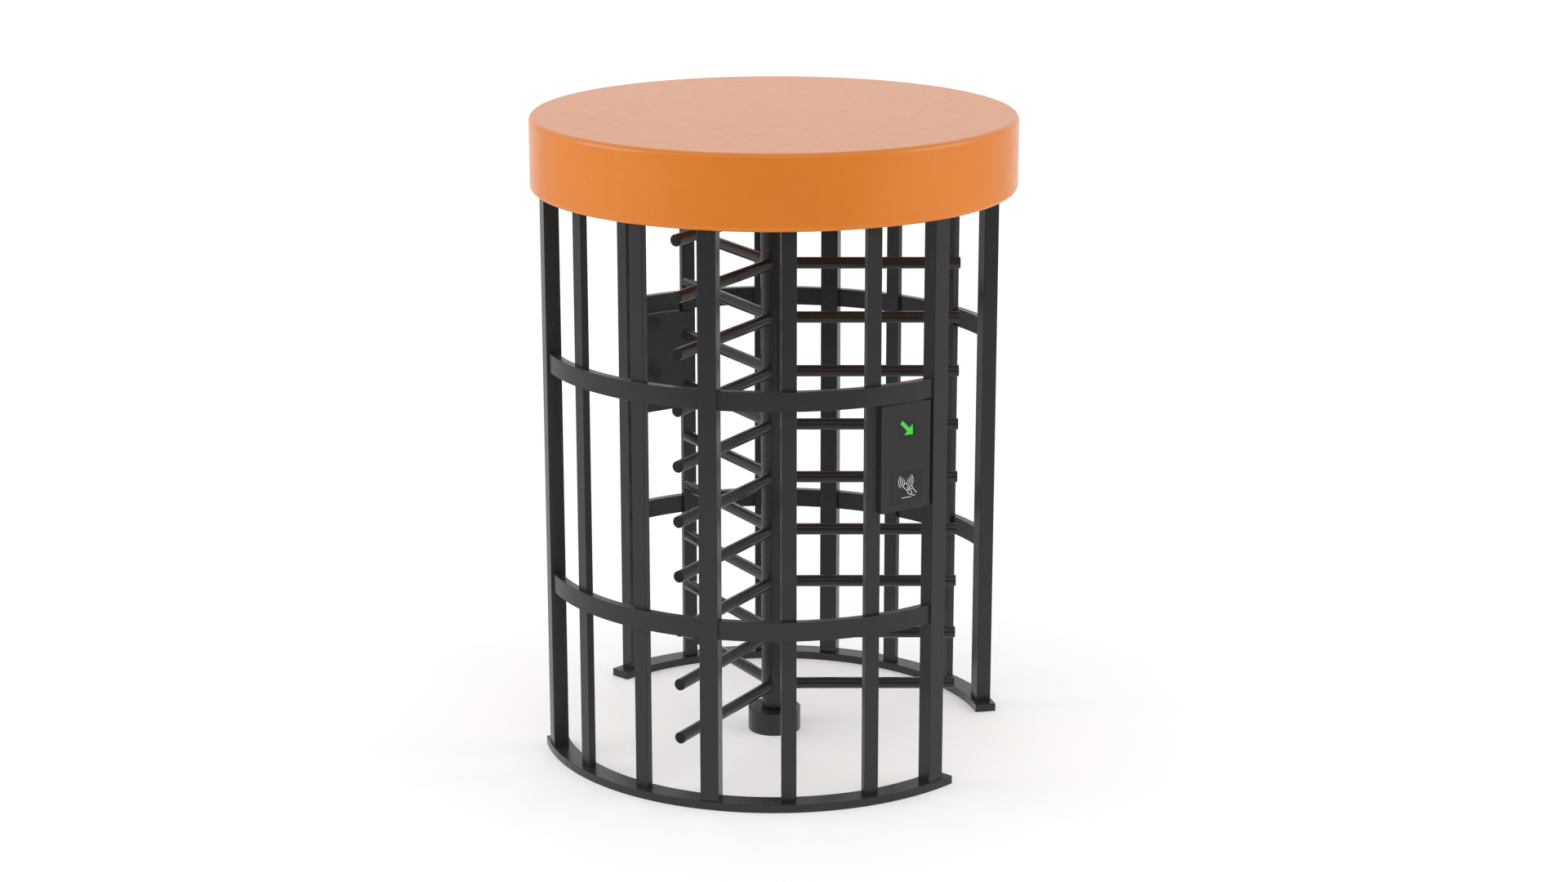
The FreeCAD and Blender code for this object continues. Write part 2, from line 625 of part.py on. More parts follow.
keep(turned("drive_shaft", [
    (0, "column_top - plug_depth"), ("column_radius - column_wall", "column_top - plug_depth"),
    ("column_radius - column_wall", "column_top"), ("column_radius", "column_top"),
    ("column_radius", "column_top + collar_height"), ("shaft_radius", "column_top + collar_height"),
    ("shaft_radius", "hub_bottom"), ("gear_seat_radius", "hub_bottom"),
    ("gear_seat_radius", "shaft_top"), (0, "shaft_top")]))

arm = arm_tube()
cap = turned("arm_cap_form", [
    (0, "-cap_spigot"), ("arm_radius - arm_wall", "-cap_spigot"), ("arm_radius - arm_wall", 0),
    ("arm_radius", 0), ("arm_radius", "cap_thick"), (0, "cap_thick")])
cap_places = []
for step, name in enumerate(WING_NAMES):
    turn = f"wing_rest_angle + {120 * step}"
    keep(copies(f"{name}_arms", arm, arm_levels(turn)))
    cap_places += arm_levels(turn, ALONG_X, "arm_reach - cap_thick")
keep(copies("arm_end_caps", cap, cap_places))


# ---------------------------------------------------------------- gears and lock wheel

PINION_CENTRE = "gear_module * (gear_teeth + pinion_teeth) / 2"


def gear_outline(teeth, turn):
    """The closed outline of a spur gear with involute flanks, a tooth centred on the turn."""
    module, pressure = number("gear_module"), math.radians(number("pressure_angle"))
    pitch = module * teeth / 2
    base, tip, root = pitch * math.cos(pressure), pitch + 0.95 * module, pitch - 1.25 * module
    half_tooth = math.pi / (2 * teeth) - number("backlash") / (4 * pitch)

    def involute(angle):
        return math.tan(angle) - angle

    def flank(radius, side):
        """A point on one flank of the tooth at a radius, as radius and angle from its middle."""
        rolled = involute(pressure) - involute(math.acos(min(1, base / radius)))
        return radius, side * (half_tooth + rolled)

    def point(radius, angle):
        return FreeCAD.Vector(radius * math.cos(angle), radius * math.sin(angle), 0)

    start = max(base, root)
    edges = []
    for tooth in range(teeth):
        middle = math.radians(turn) + 2 * math.pi * tooth / teeth
        following = middle + 2 * math.pi / teeth
        rising = [point(r, middle + a) for r, a in
                  (flank(start, -1), flank((start + tip) / 2, -1), flank(tip, -1))]
        falling = [point(r, middle + a) for r, a in
                   (flank(tip, 1), flank((start + tip) / 2, 1), flank(start, 1))]
        crest = point(tip, middle)
        foot_angle = flank(start, 1)[1]
        root_in = point(root, middle - foot_angle)
        root_out = point(root, middle + foot_angle)
        root_next = point(root, following - foot_angle)
        valley = point(root, (middle + following) / 2)
        if start > root:
            edges.append(Part.LineSegment(root_in, rising[0]).toShape())
        edges.append(Part.Arc(*rising).toShape())
        edges.append(Part.Arc(rising[2], crest, falling[0]).toShape())
        edges.append(Part.Arc(*falling).toShape())
        if start > root:
            edges.append(Part.LineSegment(falling[2], root_out).toShape())
        edges.append(Part.Arc(root_out, valley, root_next).toShape())
    return Part.Wire(edges)


def gear_blank(label, teeth, turn, bottom, thick):
    """The toothed disc of a gear, without its bore."""
    face = Part.Face(gear_outline(int(number(teeth)), turn))
    item = doc.addObject("Part::Feature", label)
    item.Shape = face.extrude(FreeCAD.Vector(0, 0, number(thick)))
    item.Placement = placed(z=bottom)
    return item


def drive_gear():
    """The large gear on the drive shaft, with six lightening holes."""
    blank = gear_blank("drive_gear_blank", "gear_teeth", 0, "gear_bottom", "gear_thick")
    holes = [cylinder("gear_bore", "gear_seat_radius", "gear_thick", z="gear_bottom")]
    holes += [cylinder(f"gear_window_{angle}", "gear_window_radius", "gear_thick",
                       x=f"gear_window_circle * cos({angle})",
                       y=f"gear_window_circle * sin({angle})", z="gear_bottom")
              for angle in range(0, 360, 60)]
    return cut("drive_gear", blank, holes)


def drive_pinion():
    """The motor pinion and its shaft in one piece, a tooth gap facing the large gear."""
    half_pitch = 180 / number("pinion_teeth")
    blank = gear_blank("drive_pinion_blank", "pinion_teeth", half_pitch,
                       "gear_bottom - pinion_overhang", "gear_thick + 2 * pinion_overhang")
    shaft = cylinder("pinion_shaft", "motor_shaft_radius",
                     "gear_thick + pinion_overhang + motor_shaft_drop",
                     z="gear_bottom - motor_shaft_drop")
    pinion = doc.addObject("Part::Fuse", "drive_pinion")
    pinion.Base, pinion.Tool = blank, shaft
    pinion.Placement = placed(x=PINION_CENTRE)
    return pinion


def lock_wheel():
    """The lock wheel: a hubbed disc with a ring of index holes."""
    body = turned("lock_wheel", [
        ("gear_seat_radius", "hub_bottom"), ("hub_radius", "hub_bottom"),
        ("hub_radius", "wheel_bottom"), ("wheel_radius", "wheel_bottom"),
        ("wheel_radius", "wheel_bottom + wheel_thick"),
        ("hub_radius", "wheel_bottom + wheel_thick"), ("hub_radius", "gear_bottom"),
        ("gear_seat_radius", "gear_bottom")])
    sketch = new_sketch(body)
    bind(sketch, AttachmentOffset__Base__z="wheel_bottom")
    draw_circle(sketch, "index_radius", along="index_circle")
    hole = pocket(body, sketch, "wheel_thick", upward=True)
    pattern(body, hole, sketch, "index_count")
    return body


keep(drive_gear())
keep(drive_pinion())
keep(lock_wheel())


# ---------------------------------------------------------------- motor, lock and electronics

LOCK_PLACE = placed(x="-index_circle")


def lock_solenoid():
    """The solenoid, hung under the drive plate between the two cheeks of its yoke."""
    coil = turned("solenoid_coil", [
        (0, "solenoid_bottom"), ("solenoid_radius", "solenoid_bottom"),
        ("solenoid_radius", "solenoid_top"), ("bolt_radius + running_gap", "solenoid_top"),
        ("bolt_radius + running_gap", "solenoid_floor"), (0, "solenoid_floor")], LOCK_PLACE)
    cheeks = [slab(f"solenoid_cheek_{side}", "yoke_thick", "yoke_width",
                   f"{BEAM_TOP} - solenoid_bottom",
                   placed(x=f"-index_circle {sign} solenoid_radius", z="solenoid_bottom"))
              for side, sign in (("near", "+"), ("far", "-"))]
    solenoid = doc.addObject("Part::MultiFuse", "lock_solenoid")
    solenoid.Shapes = [coil] + cheeks
    return solenoid


def lock_spring():
    """The return spring: round wire wound between the bolt's collar and the drive plate."""
    wire, turns = number("spring_wire"), number("spring_turns")
    length = number(f"{BEAM_TOP} - bolt_collar_top")
    mean = number("bolt_radius + 1.5 * spring_wire")
    path = Part.makeHelix((length - wire) / turns, length - wire, mean)
    profile = Part.Wire(Part.Circle(FreeCAD.Vector(mean, 0, 0), FreeCAD.Vector(0, 1, 0),
                                    wire / 2).toShape())
    item = doc.addObject("Part::Feature", "lock_spring")
    item.Shape = Part.Wire(path).makePipeShell([profile], True, True)
    item.Placement = placed(x="-index_circle", z="bolt_collar_top + spring_wire / 2")
    return item


def controller_case():
    """An open-topped sheet box on the cross beams for the control board."""
    body = slab("controller_case", "case_length", "case_width", "case_height",
                placed(x="case_centre", z=BEAM_TOP))
    sketch = new_sketch(body)
    bind(sketch, AttachmentOffset__Base__z="case_sheet")
    draw_rectangle(sketch, "case_length - 2 * case_sheet", "case_width - 2 * case_sheet")
    pocket(body, sketch, "case_height", upward=True)
    return body


keep(turned("gearmotor", [
    (0, PLATE_TOP), ("motor_radius", PLATE_TOP), ("motor_radius", f"{PLATE_TOP} + motor_height"),
    ("motor_neck_radius", f"{PLATE_TOP} + motor_neck_bottom"),
    ("motor_neck_radius", f"{PLATE_TOP} + motor_neck_top"),
    ("motor_shaft_radius + running_gap", f"{PLATE_TOP} + motor_neck_top"),
    ("motor_shaft_radius + running_gap", f"{PLATE_TOP} + motor_bore_bottom"),
    (0, f"{PLATE_TOP} + motor_bore_bottom")], placed(x=PINION_CENTRE)))
keep(lock_solenoid())
keep(turned("lock_guide_bush", [
    ("bolt_radius + running_gap", BEAM_TOP), ("bolt_radius + bush_wall", BEAM_TOP),
    ("bolt_radius + bush_wall", PLATE_TOP), ("bolt_radius + bush_flange", PLATE_TOP),
    ("bolt_radius + bush_flange", f"{PLATE_TOP} + bush_flange_thick"),
    ("bolt_radius + bush_wall", f"{PLATE_TOP} + bush_flange_thick"),
    ("bolt_radius + bush_wall", "bush_top"), ("bolt_radius + running_gap", "bush_top")],
    LOCK_PLACE))
keep(turned("lock_bolt", [
    (0, "bolt_bottom"), ("bolt_radius", "bolt_bottom"), ("bolt_radius", "bolt_collar_bottom"),
    ("bolt_collar_radius", "bolt_collar_bottom"), ("bolt_collar_radius", "bolt_collar_top"),
    ("bolt_radius", "bolt_collar_top"), ("bolt_radius", "bolt_top - bolt_chamfer"),
    ("bolt_radius - bolt_chamfer", "bolt_top"), (0, "bolt_top")], LOCK_PLACE))
keep(lock_spring())
keep(controller_case())
keep(slab("controller_lid", "case_length + lid_overlap", "case_width + lid_overlap", "lid_thick",
          placed(x="case_centre", z=f"{BEAM_TOP} + case_height")))
keep(slab("power_supply", "supply_length", "case_width", "supply_height",
          placed(x="supply_centre", z=BEAM_TOP)))


# ---------------------------------------------------------------- card readers

READER_MIDDLE = "(reader_right - reader_left) / 2"
ARROW_MIDDLE = f"{READER_MIDDLE} + arrow_shift"
READER_WIDTH = "reader_left + reader_right"


def reader_place(direction, x, y=READER_MIDDLE, z="reader_bottom", tilt=FreeCAD.Rotation()):
    """A place in a reader: x out from the rotor axis, y to the panel's right-hand end."""
    return placed(x=x, y=y, z=z, turn=f"{direction} + reader_angle", tilt=tilt)


def reader_case(side, direction):
    """The reader's five-sided box, open towards the passer-by and stepped over the slim post."""
    body = new_body(f"{side}_reader_case",
                    placed(z="reader_bottom", turn=f"{direction} + reader_angle"))
    sketch = new_sketch(body)
    draw_polygon(sketch, [
        ("reader_back", "-reader_deep_left"), ("reader_step", "-reader_deep_left"),
        ("reader_step", "-reader_left"), ("reader_face - reader_sheet", "-reader_left"),
        ("reader_face - reader_sheet", "reader_right"), ("reader_back", "reader_right")])
    pad(body, sketch, "reader_height")
    sketch = new_sketch(body)
    bind(sketch, AttachmentOffset__Base__z="reader_sheet")
    draw_polygon(sketch, [
        ("reader_back + reader_sheet", "reader_sheet - reader_deep_left"),
        ("reader_step + reader_sheet", "reader_sheet - reader_deep_left"),
        ("reader_step + reader_sheet", "reader_sheet - reader_left"),
        ("reader_face", "reader_sheet - reader_left"),
        ("reader_face", "reader_right - reader_sheet"),
        ("reader_back + reader_sheet", "reader_right - reader_sheet")])
    pocket(body, sketch, "reader_height - 2 * reader_sheet", upward=True)
    return body


def reader_face(side, direction):
    """The front sheet of the reader with a round window for the arrow lamp."""
    blank = slab(f"{side}_reader_face_blank", "reader_sheet", READER_WIDTH, "reader_height",
                 placed(x="reader_face - reader_sheet / 2", y=READER_MIDDLE, z="reader_bottom"))
    window = cylinder(f"{side}_reader_window", "arrow_radius", "3 * reader_sheet",
                      x="reader_face - 2 * reader_sheet", y=ARROW_MIDDLE, z="arrow_height",
                      tilt=ALONG_X)
    return cut(f"{side}_reader_face", blank, [window],
               placed(turn=f"{direction} + reader_angle"))


def reader_board():
    """The circuit board of a reader on four stand-offs, its face on the YZ plane."""
    plate = slab("reader_board_plate", "board_thick", "board_width", "board_height")
    posts = [cylinder(f"reader_standoff_{place}", "standoff_radius",
                      "reader_face - board_depth - reader_back - reader_sheet",
                      x="-(reader_face - board_depth - reader_back - reader_sheet)",
                      y=f"{sy} * (board_width / 2 - standoff_inset)", z=z, tilt=ALONG_X)
             for place, (sy, z) in enumerate(((-1, "standoff_inset"), (1, "standoff_inset"),
                                              (-1, "board_height - standoff_inset"),
                                              (1, "board_height - standoff_inset")), start=1)]
    board = doc.addObject("Part::MultiFuse", "reader_board")
    board.Shapes = [plate] + posts
    return board


for side, direction in (("front", FRONT), ("rear", REAR)):
    keep(reader_case(side, direction))
    keep(reader_face(side, direction))
    keep(slab(f"{side}_reader_back_plate", "reader_sheet",
              "reader_right + reader_deep_left + reader_wing", "reader_height",
              reader_place(direction, "reader_back - reader_sheet / 2",
                           y="(reader_right - reader_deep_left - reader_wing) / 2")))
    keep(turned(f"{side}_arrow_lens", [
        (0, 0), ("arrow_radius - arrow_gap", 0), ("arrow_radius - arrow_gap", "reader_sheet"),
        (0, "reader_sheet")],
        reader_place(direction, "reader_face - reader_sheet", ARROW_MIDDLE, "arrow_height",
                     ALONG_X)))

keep(copies("reader_boards", reader_board(),
            [reader_place(direction, "reader_face - board_depth", z="reader_bottom + board_rise")
             for direction in (FRONT, REAR)]))


# ---------------------------------------------------------------- checks and files

doc.recompute()
for item in doc.Objects:
    if "Invalid" in item.State or "Error" in item.State:
        raise RuntimeError(f"{item.Label} failed: {item.State}")

os.makedirs("parts", exist_ok=True)
for item in nodes:
    shape = item.Shape
    if shape.isNull() or not shape.isValid() or not shape.Solids:
        raise RuntimeError(item.Label + " has no valid solid")
    shape.exportStep(f"parts/{item.Label}.step")
print(len(nodes), "sub-parts written")
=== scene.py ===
import json
import math

import bmesh
import bpy
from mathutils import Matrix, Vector


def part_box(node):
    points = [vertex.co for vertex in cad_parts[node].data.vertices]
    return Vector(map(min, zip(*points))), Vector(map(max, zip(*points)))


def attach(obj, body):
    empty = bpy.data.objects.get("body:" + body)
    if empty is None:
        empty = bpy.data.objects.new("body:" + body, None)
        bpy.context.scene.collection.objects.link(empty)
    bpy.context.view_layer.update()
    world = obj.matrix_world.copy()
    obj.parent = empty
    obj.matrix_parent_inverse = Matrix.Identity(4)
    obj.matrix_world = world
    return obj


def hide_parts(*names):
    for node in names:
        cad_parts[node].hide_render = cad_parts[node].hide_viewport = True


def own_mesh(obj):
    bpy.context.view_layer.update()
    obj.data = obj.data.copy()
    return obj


# Looks of the full-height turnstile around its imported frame, in metres.
# The panels, the canopy, the rotor and the readers get rounded meshes of their own, and the
# machinery under the canopy keeps its CAD shapes with better materials.

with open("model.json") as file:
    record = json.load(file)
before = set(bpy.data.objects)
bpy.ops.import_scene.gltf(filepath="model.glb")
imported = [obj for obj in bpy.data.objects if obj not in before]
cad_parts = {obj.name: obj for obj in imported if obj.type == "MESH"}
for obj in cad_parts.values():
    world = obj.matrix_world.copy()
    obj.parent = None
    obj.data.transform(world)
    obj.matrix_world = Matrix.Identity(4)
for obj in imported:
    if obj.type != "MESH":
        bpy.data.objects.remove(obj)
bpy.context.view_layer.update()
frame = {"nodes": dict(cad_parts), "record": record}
NODES = frame["nodes"]

SIDES = ("front", "rear")
WINGS = ("wing_a", "wing_b", "wing_c")
UP = Vector((0, 0, 1))


# ---------------------------------------------------------------- materials

def socket(node, name, value):
    node.inputs[name].default_value = value


class Finish:
    """A Principled material with helpers for its procedural inputs."""

    def __init__(self, name, **constants):
        self.material = bpy.data.materials.new(name)
        self.material.use_nodes = True
        self.tree = self.material.node_tree
        self.bsdf = self.tree.nodes["Principled BSDF"]
        for key, value in constants.items():
            socket(self.bsdf, key.replace("_", " "), value)
        self.place = self.tree.nodes.new("ShaderNodeTexCoord").outputs["Object"]
        self.height = None

    def node(self, kind, **inputs):
        made = self.tree.nodes.new(kind)
        for name, value in inputs.items():
            target = made.inputs[name.replace("_", " ")]
            if isinstance(value, bpy.types.NodeSocket):
                self.tree.links.new(value, target)
            else:
                target.default_value = value
        return made

    def link(self, output, name):
        self.tree.links.new(output, self.bsdf.inputs[name])

    def stretched(self, scale):
        """Object coordinates stretched by a factor along each axis."""
        return self.node("ShaderNodeMapping", Vector=self.place, Scale=scale).outputs["Vector"]

    def noise(self, scale, detail=2.0, rough=0.5, place=None):
        return self.node("ShaderNodeTexNoise", Vector=place or self.place, Scale=scale,
                         Detail=detail, Roughness=rough).outputs["Fac"]

    def span(self, value, low, high, start=0.3, end=0.7):
        """A noise value spread from low to high."""
        return self.node("ShaderNodeMapRange", Value=value, From_Min=start, From_Max=end,
                         To_Min=low, To_Max=high).outputs["Result"]

    def colours(self, value, *stops):
        """A colour ramp of (position, (r, g, b)) stops."""
        ramp = self.node("ShaderNodeValToRGB", Fac=value)
        elements = ramp.color_ramp.elements
        while len(elements) < len(stops):
            elements.new(0.5)
        for element, (position, colour) in zip(elements, stops):
            element.position = position
            element.color = (*colour, 1)
        return ramp.outputs["Color"]

    def bump(self, value, strength, distance):
        """Adds a layer of bump on top of the layers before it."""
        inputs = {"Height": value, "Strength": strength, "Distance": distance}
        if self.height is not None:
            inputs["Normal"] = self.height
        self.height = self.node("ShaderNodeBump", **inputs).outputs["Normal"]
        self.link(self.height, "Normal")


def powder_coat(name, dark, light, rough, grain=1500, texture=0.10, **constants):
    """Powder coat: a fine grain, a soft orange peel and a little variation of tone and gloss."""
    made = Finish(name, **constants)
    tone = made.noise(5, 3)
    made.link(made.colours(tone, (0.3, dark), (0.7, light)), "Base Color")
    fine = made.noise(grain, 3, 0.6)
    cloudy = made.noise(26, 3)
    blend = made.node("ShaderNodeMath", Value=cloudy)
    blend.operation = "ADD"
    made.tree.links.new(fine, blend.inputs[1])
    made.link(made.span(blend.outputs[0], rough - 0.04, rough + 0.04, 0.7, 1.3), "Roughness")
    made.bump(made.noise(160, 2), texture, 0.0004)
    made.bump(fine, texture * 1.6, 0.0002)
    return made.material


def machined(name, dark, light, rough, along=(1, 1, 40), scratch=60):
    """Bare metal with tool marks stretched across an axis."""
    made = Finish(name, Metallic=1.0)
    marks = made.noise(scratch, 5, 0.65, made.stretched(along))
    tone = made.noise(9, 3)
    made.link(made.colours(tone, (0.3, dark), (0.7, light)), "Base Color")
    made.link(made.span(marks, rough - 0.08, rough + 0.1), "Roughness")
    made.bump(marks, 0.18, 0.0003)
    return made.material


def moulded(name, dark, light, rough, grain=900):
    """Moulded plastic or rubber with a fine leather grain."""
    made = Finish(name)
    cells = made.node("ShaderNodeTexVoronoi", Vector=made.place, Scale=grain).outputs["Distance"]
    tone = made.noise(14, 3)
    made.link(made.colours(tone, (0.3, dark), (0.7, light)), "Base Color")
    made.link(made.span(made.noise(70, 3), rough - 0.06, rough + 0.06), "Roughness")
    made.bump(cells, 0.12, 0.0003)
    return made.material


def zinc_plate(name):
    """Zinc plating with its faint spangle."""
    made = Finish(name, Metallic=1.0)
    cells = made.node("ShaderNodeTexVoronoi", Vector=made.place, Scale=70).outputs["Color"]
    value = made.node("ShaderNodeRGBToBW", Color=cells).outputs["Val"]
    made.link(made.colours(value, (0.1, (0.46, 0.46, 0.44)), (0.9, (0.66, 0.65, 0.62))),
              "Base Color")
    made.link(made.span(made.noise(40, 4), 0.3, 0.48), "Roughness")
    made.bump(made.noise(500, 3), 0.1, 0.0003)
    return made.material


def circuit(name):
    """Solder resist over copper tracks."""
    made = Finish(name)
    tracks = made.node("ShaderNodeTexBrick", Vector=made.place, Scale=90)
    socket(tracks, "Color1", (0.012, 0.10, 0.035, 1))
    socket(tracks, "Color2", (0.016, 0.13, 0.045, 1))
    socket(tracks, "Mortar", (0.05, 0.24, 0.09, 1))
    made.link(tracks.outputs["Color"], "Base Color")
    made.link(made.span(made.noise(60, 3), 0.22, 0.36), "Roughness")
    made.bump(tracks.outputs["Fac"], 0.3, 0.0002)
    return made.material


def lit(name, dark, light, strength):
    """A lamp behind its coloured window."""
    made = Finish(name, Roughness=0.3)
    colour = made.colours(made.noise(420, 2), (0.3, dark), (0.7, light))
    made.link(colour, "Base Color")
    made.link(colour, "Emission Color")
    socket(made.bsdf, "Emission Strength", strength)
    made.bump(made.noise(900, 2), 0.06, 0.0002)
    return made.material


BLACK = powder_coat("black_powder_coat", (0.0225, 0.0226, 0.0228), (0.0250, 0.0251, 0.0253), 0.28,
                    texture=0.03, IOR=1.4)
ROTOR_BLACK = powder_coat("rotor_powder_coat", (0.0185, 0.0186, 0.0188), (0.0210, 0.0211, 0.0213),
                          0.22, texture=0.025, IOR=1.45)
ORANGE = powder_coat("orange_coat", (0.635, 0.180, 0.0115), (0.655, 0.188, 0.0130), 0.25,
                     grain=1100, texture=0.02, IOR=1.5)
CAP = moulded("arm_cap_plastic", (0.008, 0.008, 0.0085), (0.012, 0.012, 0.0125), 0.5)
PANEL = powder_coat("reader_panel", (0.0235, 0.0236, 0.0238), (0.0250, 0.0251, 0.0253), 0.32,
                    texture=0.03, IOR=1.38)
PAD_BLACK = powder_coat("card_pad", (0.0190, 0.0191, 0.0193), (0.0205, 0.0206, 0.0208), 0.28,
                        grain=2200, texture=0.02, IOR=1.38)
LENS = powder_coat("lamp_lens", (0.0200, 0.0206, 0.0202), (0.0215, 0.0221, 0.0217), 0.26,
                   grain=2400, texture=0.02, IOR=1.38)
ARROW = lit("arrow_green", (0.026, 0.48, 0.028), (0.030, 0.52, 0.032), 0.25)
PRINT = powder_coat("white_print", (0.62, 0.62, 0.62), (0.72, 0.72, 0.72), 0.5,
                    grain=2600, texture=0.03)
ZINC = zinc_plate("zinc_plate")
STEEL = machined("machined_steel", (0.42, 0.42, 0.43), (0.56, 0.56, 0.57), 0.3)
BRONZE = machined("turned_bronze", (0.42, 0.26, 0.10), (0.56, 0.36, 0.15), 0.34)
SPRING = machined("spring_wire", (0.20, 0.20, 0.21), (0.30, 0.30, 0.31), 0.32, (1, 1, 1), 300)
CASTING = powder_coat("painted_casting", (0.13, 0.14, 0.15), (0.17, 0.18, 0.19), 0.45,
                      grain=500, texture=0.3)
RUBBER = moulded("seal_rubber", (0.010, 0.010, 0.010), (0.016, 0.016, 0.016), 0.7)
COIL = moulded("coil_cover", (0.014, 0.014, 0.015), (0.022, 0.022, 0.023), 0.45)
CASE = powder_coat("case_grey", (0.42, 0.43, 0.43), (0.48, 0.49, 0.49), 0.4, grain=900,
                   texture=0.12)
SUPPLY = machined("anodised_aluminium", (0.50, 0.50, 0.51), (0.60, 0.60, 0.61), 0.36, (40, 1, 1))
BOARD = circuit("circuit_board")

SLOT_FINISH = {
    "black_powder_coat": BLACK, "orange_coat": ORANGE, "arm_cap": CAP, "reader_panel": PANEL,
    "arrow_lens": LENS, "zinc_steel": ZINC, "bright_steel": STEEL, "cast_grey": CASTING,
    "rubber_seal": RUBBER, "bronze": BRONZE, "coil_black": COIL, "spring_steel": SPRING,
    "case_grey": CASE, "supply_aluminium": SUPPLY, "circuit_board": BOARD,
}
for part in frame["record"]["subparts"]:
    mesh = NODES[part["node"]].data
    mesh.materials.clear()
    mesh.materials.append(SLOT_FINISH[part["material_slot"]])


# ---------------------------------------------------------------- mesh helpers

SHARP_EDGE = 50            # degrees from which an edge stays sharp


def placed(name, data):
    """A new object of the scene."""
    made = bpy.data.objects.new(name, data)
    bpy.context.scene.collection.objects.link(made)
    return made


def mesh_object(name, shape):
    """An object from (points, faces), its faces turned outwards."""
    mesh = bpy.data.meshes.new(name)
    mesh.from_pydata(shape[0], [], shape[1])
    work = bmesh.new()
    work.from_mesh(mesh)
    bmesh.ops.recalc_face_normals(work, faces=work.faces)
    work.to_mesh(mesh)
    work.free()
    return placed(name, mesh)


def smooth(made, sharp=SHARP_EDGE):
    """Smooth shading that keeps flat faces flat and edges above an angle sharp."""
    mesh = made.data
    mesh.polygons.foreach_set("use_smooth", [True] * len(mesh.polygons))
    mesh.set_sharp_from_angle(angle=math.radians(sharp))
    made.modifiers.new("weighted normals", "WEIGHTED_NORMAL").keep_sharp = True


def piece(name, shape, body, finish, stands_for=(), sharp=SHARP_EDGE):
    """A closed mesh from (points, faces), riding on a body and standing for CAD nodes."""
    made = mesh_object(name, shape)
    smooth(made, sharp)
    made.data.materials.append(finish)
    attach(made, body)
    if stands_for:
        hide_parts(*stands_for)
    return made


def joined(*shapes):
    """Several shapes as one."""
    points, faces = [], []
    for more_points, more_faces in shapes:
        start = len(points)
        points += more_points
        faces += [tuple(start + index for index in face) for face in more_faces]
    return points, faces


def loft(rings, closed=False):
    """A skin over rings of points, with both ends capped unless the rings close on themselves."""
    count = len(rings[0])
    points = [point for ring in rings for point in ring]
    faces = []
    for place in range(len(rings) if closed else len(rings) - 1):
        here, there = place * count, (place + 1) % len(rings) * count
        for step in range(count):
            after = (step + 1) % count
            faces.append((here + step, here + after, there + after, there + step))
    if not closed:
        faces.append(tuple(reversed(range(count))))
        faces.append(tuple(range((len(rings) - 1) * count, len(rings) * count)))
    return points, faces


SMALLEST_ROUND = 0.00005   # what is left of a corner radius that an inset has used up
SMALLEST_RING = 0.0004     # radius at which a lathed piece closes on its axis


def arc(centre, radius, start, end, steps):
    """Points of an arc in a plane, by angles in degrees."""
    return [(centre[0] + radius * math.cos(math.radians(start + (end - start) * k / steps)),
             centre[1] + radius * math.sin(math.radians(start + (end - start) * k / steps)))
            for k in range(steps + 1)]


def rounded(u, v, radius, inset=0.0, steps=4):
    """A rounded rectangle from -u to u and -v to v, pulled in by an inset."""
    radius = max(radius - inset, SMALLEST_ROUND)
    u, v = u - inset - radius, v - inset - radius
    corners = ((u, v, 0), (-u, v, 90), (-u, -v, 180), (u, -v, 270))
    return [point for cx, cy, turn in corners
            for point in arc((cx, cy), radius, turn, turn + 90, steps)]


def end_steps(radius, steps=4):
    """Pairs of distance from an end and inset that round the end off."""
    return [(radius * (1 - math.cos(math.pi / 2 * k / steps)),
             radius * (1 - math.sin(math.pi / 2 * k / steps))) for k in range(steps + 1)]


def outward(angle):
    """The level direction away from the rotor axis."""
    return Vector((math.cos(angle), math.sin(angle), 0))


def sideways(angle):
    """The level direction across outward, to the right for someone facing the axis."""
    return Vector((-math.sin(angle), math.cos(angle), 0))


def lathe(profile, centre=Vector(), axis=UP, side=Vector((1, 0, 0)), count=96):
    """A solid of revolution from (radius, height) pairs, with flat caps at its ends."""
    other = axis.cross(side)
    rings = []
    for radius, height in profile:
        rings.append([centre + axis * height
                      + (side * math.cos(2 * math.pi * k / count)
                         + other * math.sin(2 * math.pi * k / count))
                      * max(radius, SMALLEST_RING)
                      for k in range(count)])
    return loft(rings)


# ---------------------------------------------------------------- places read from the frame

def local_box(node, angle, spread=math.pi):
    """How far a node reaches out, sideways and up, seen along a direction from the axis."""
    out, side = outward(angle), sideways(angle)
    spots = []
    for vertex in NODES[node].data.vertices:
        point = vertex.co
        turn = math.atan2(point.y, point.x) - angle
        if abs(math.remainder(turn, 2 * math.pi)) <= spread:
            spots.append((point.dot(out), point.dot(side), point.z))
    return [(min(axis), max(axis)) for axis in zip(*spots)]


def direction(node):
    """The direction from the axis to the middle of a node's box."""
    low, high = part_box(node)
    return math.atan2(low.y + high.y, low.x + high.x)


def mean_direction(node):
    """The direction from the axis to the middle of a node's points."""
    points = [vertex.co for vertex in NODES[node].data.vertices]
    return math.atan2(sum(point.y for point in points), sum(point.x for point in points))


def polar_box(node, middle):
    """Lowest and highest radius, height and angle from the middle of a curved node."""
    points = [vertex.co for vertex in NODES[node].data.vertices]
    radii = [math.hypot(point.x, point.y) for point in points]
    turns = [math.remainder(math.atan2(point.y, point.x) - middle, 2 * math.pi)
             for point in points]
    heights = [point.z for point in points]
    return ((min(radii), max(radii)), (min(heights), max(heights)), (min(turns), max(turns)))


PANEL_MIDDLE = {side: direction(f"{side}_main_post_2") for side in SIDES}


# ---------------------------------------------------------------- panels

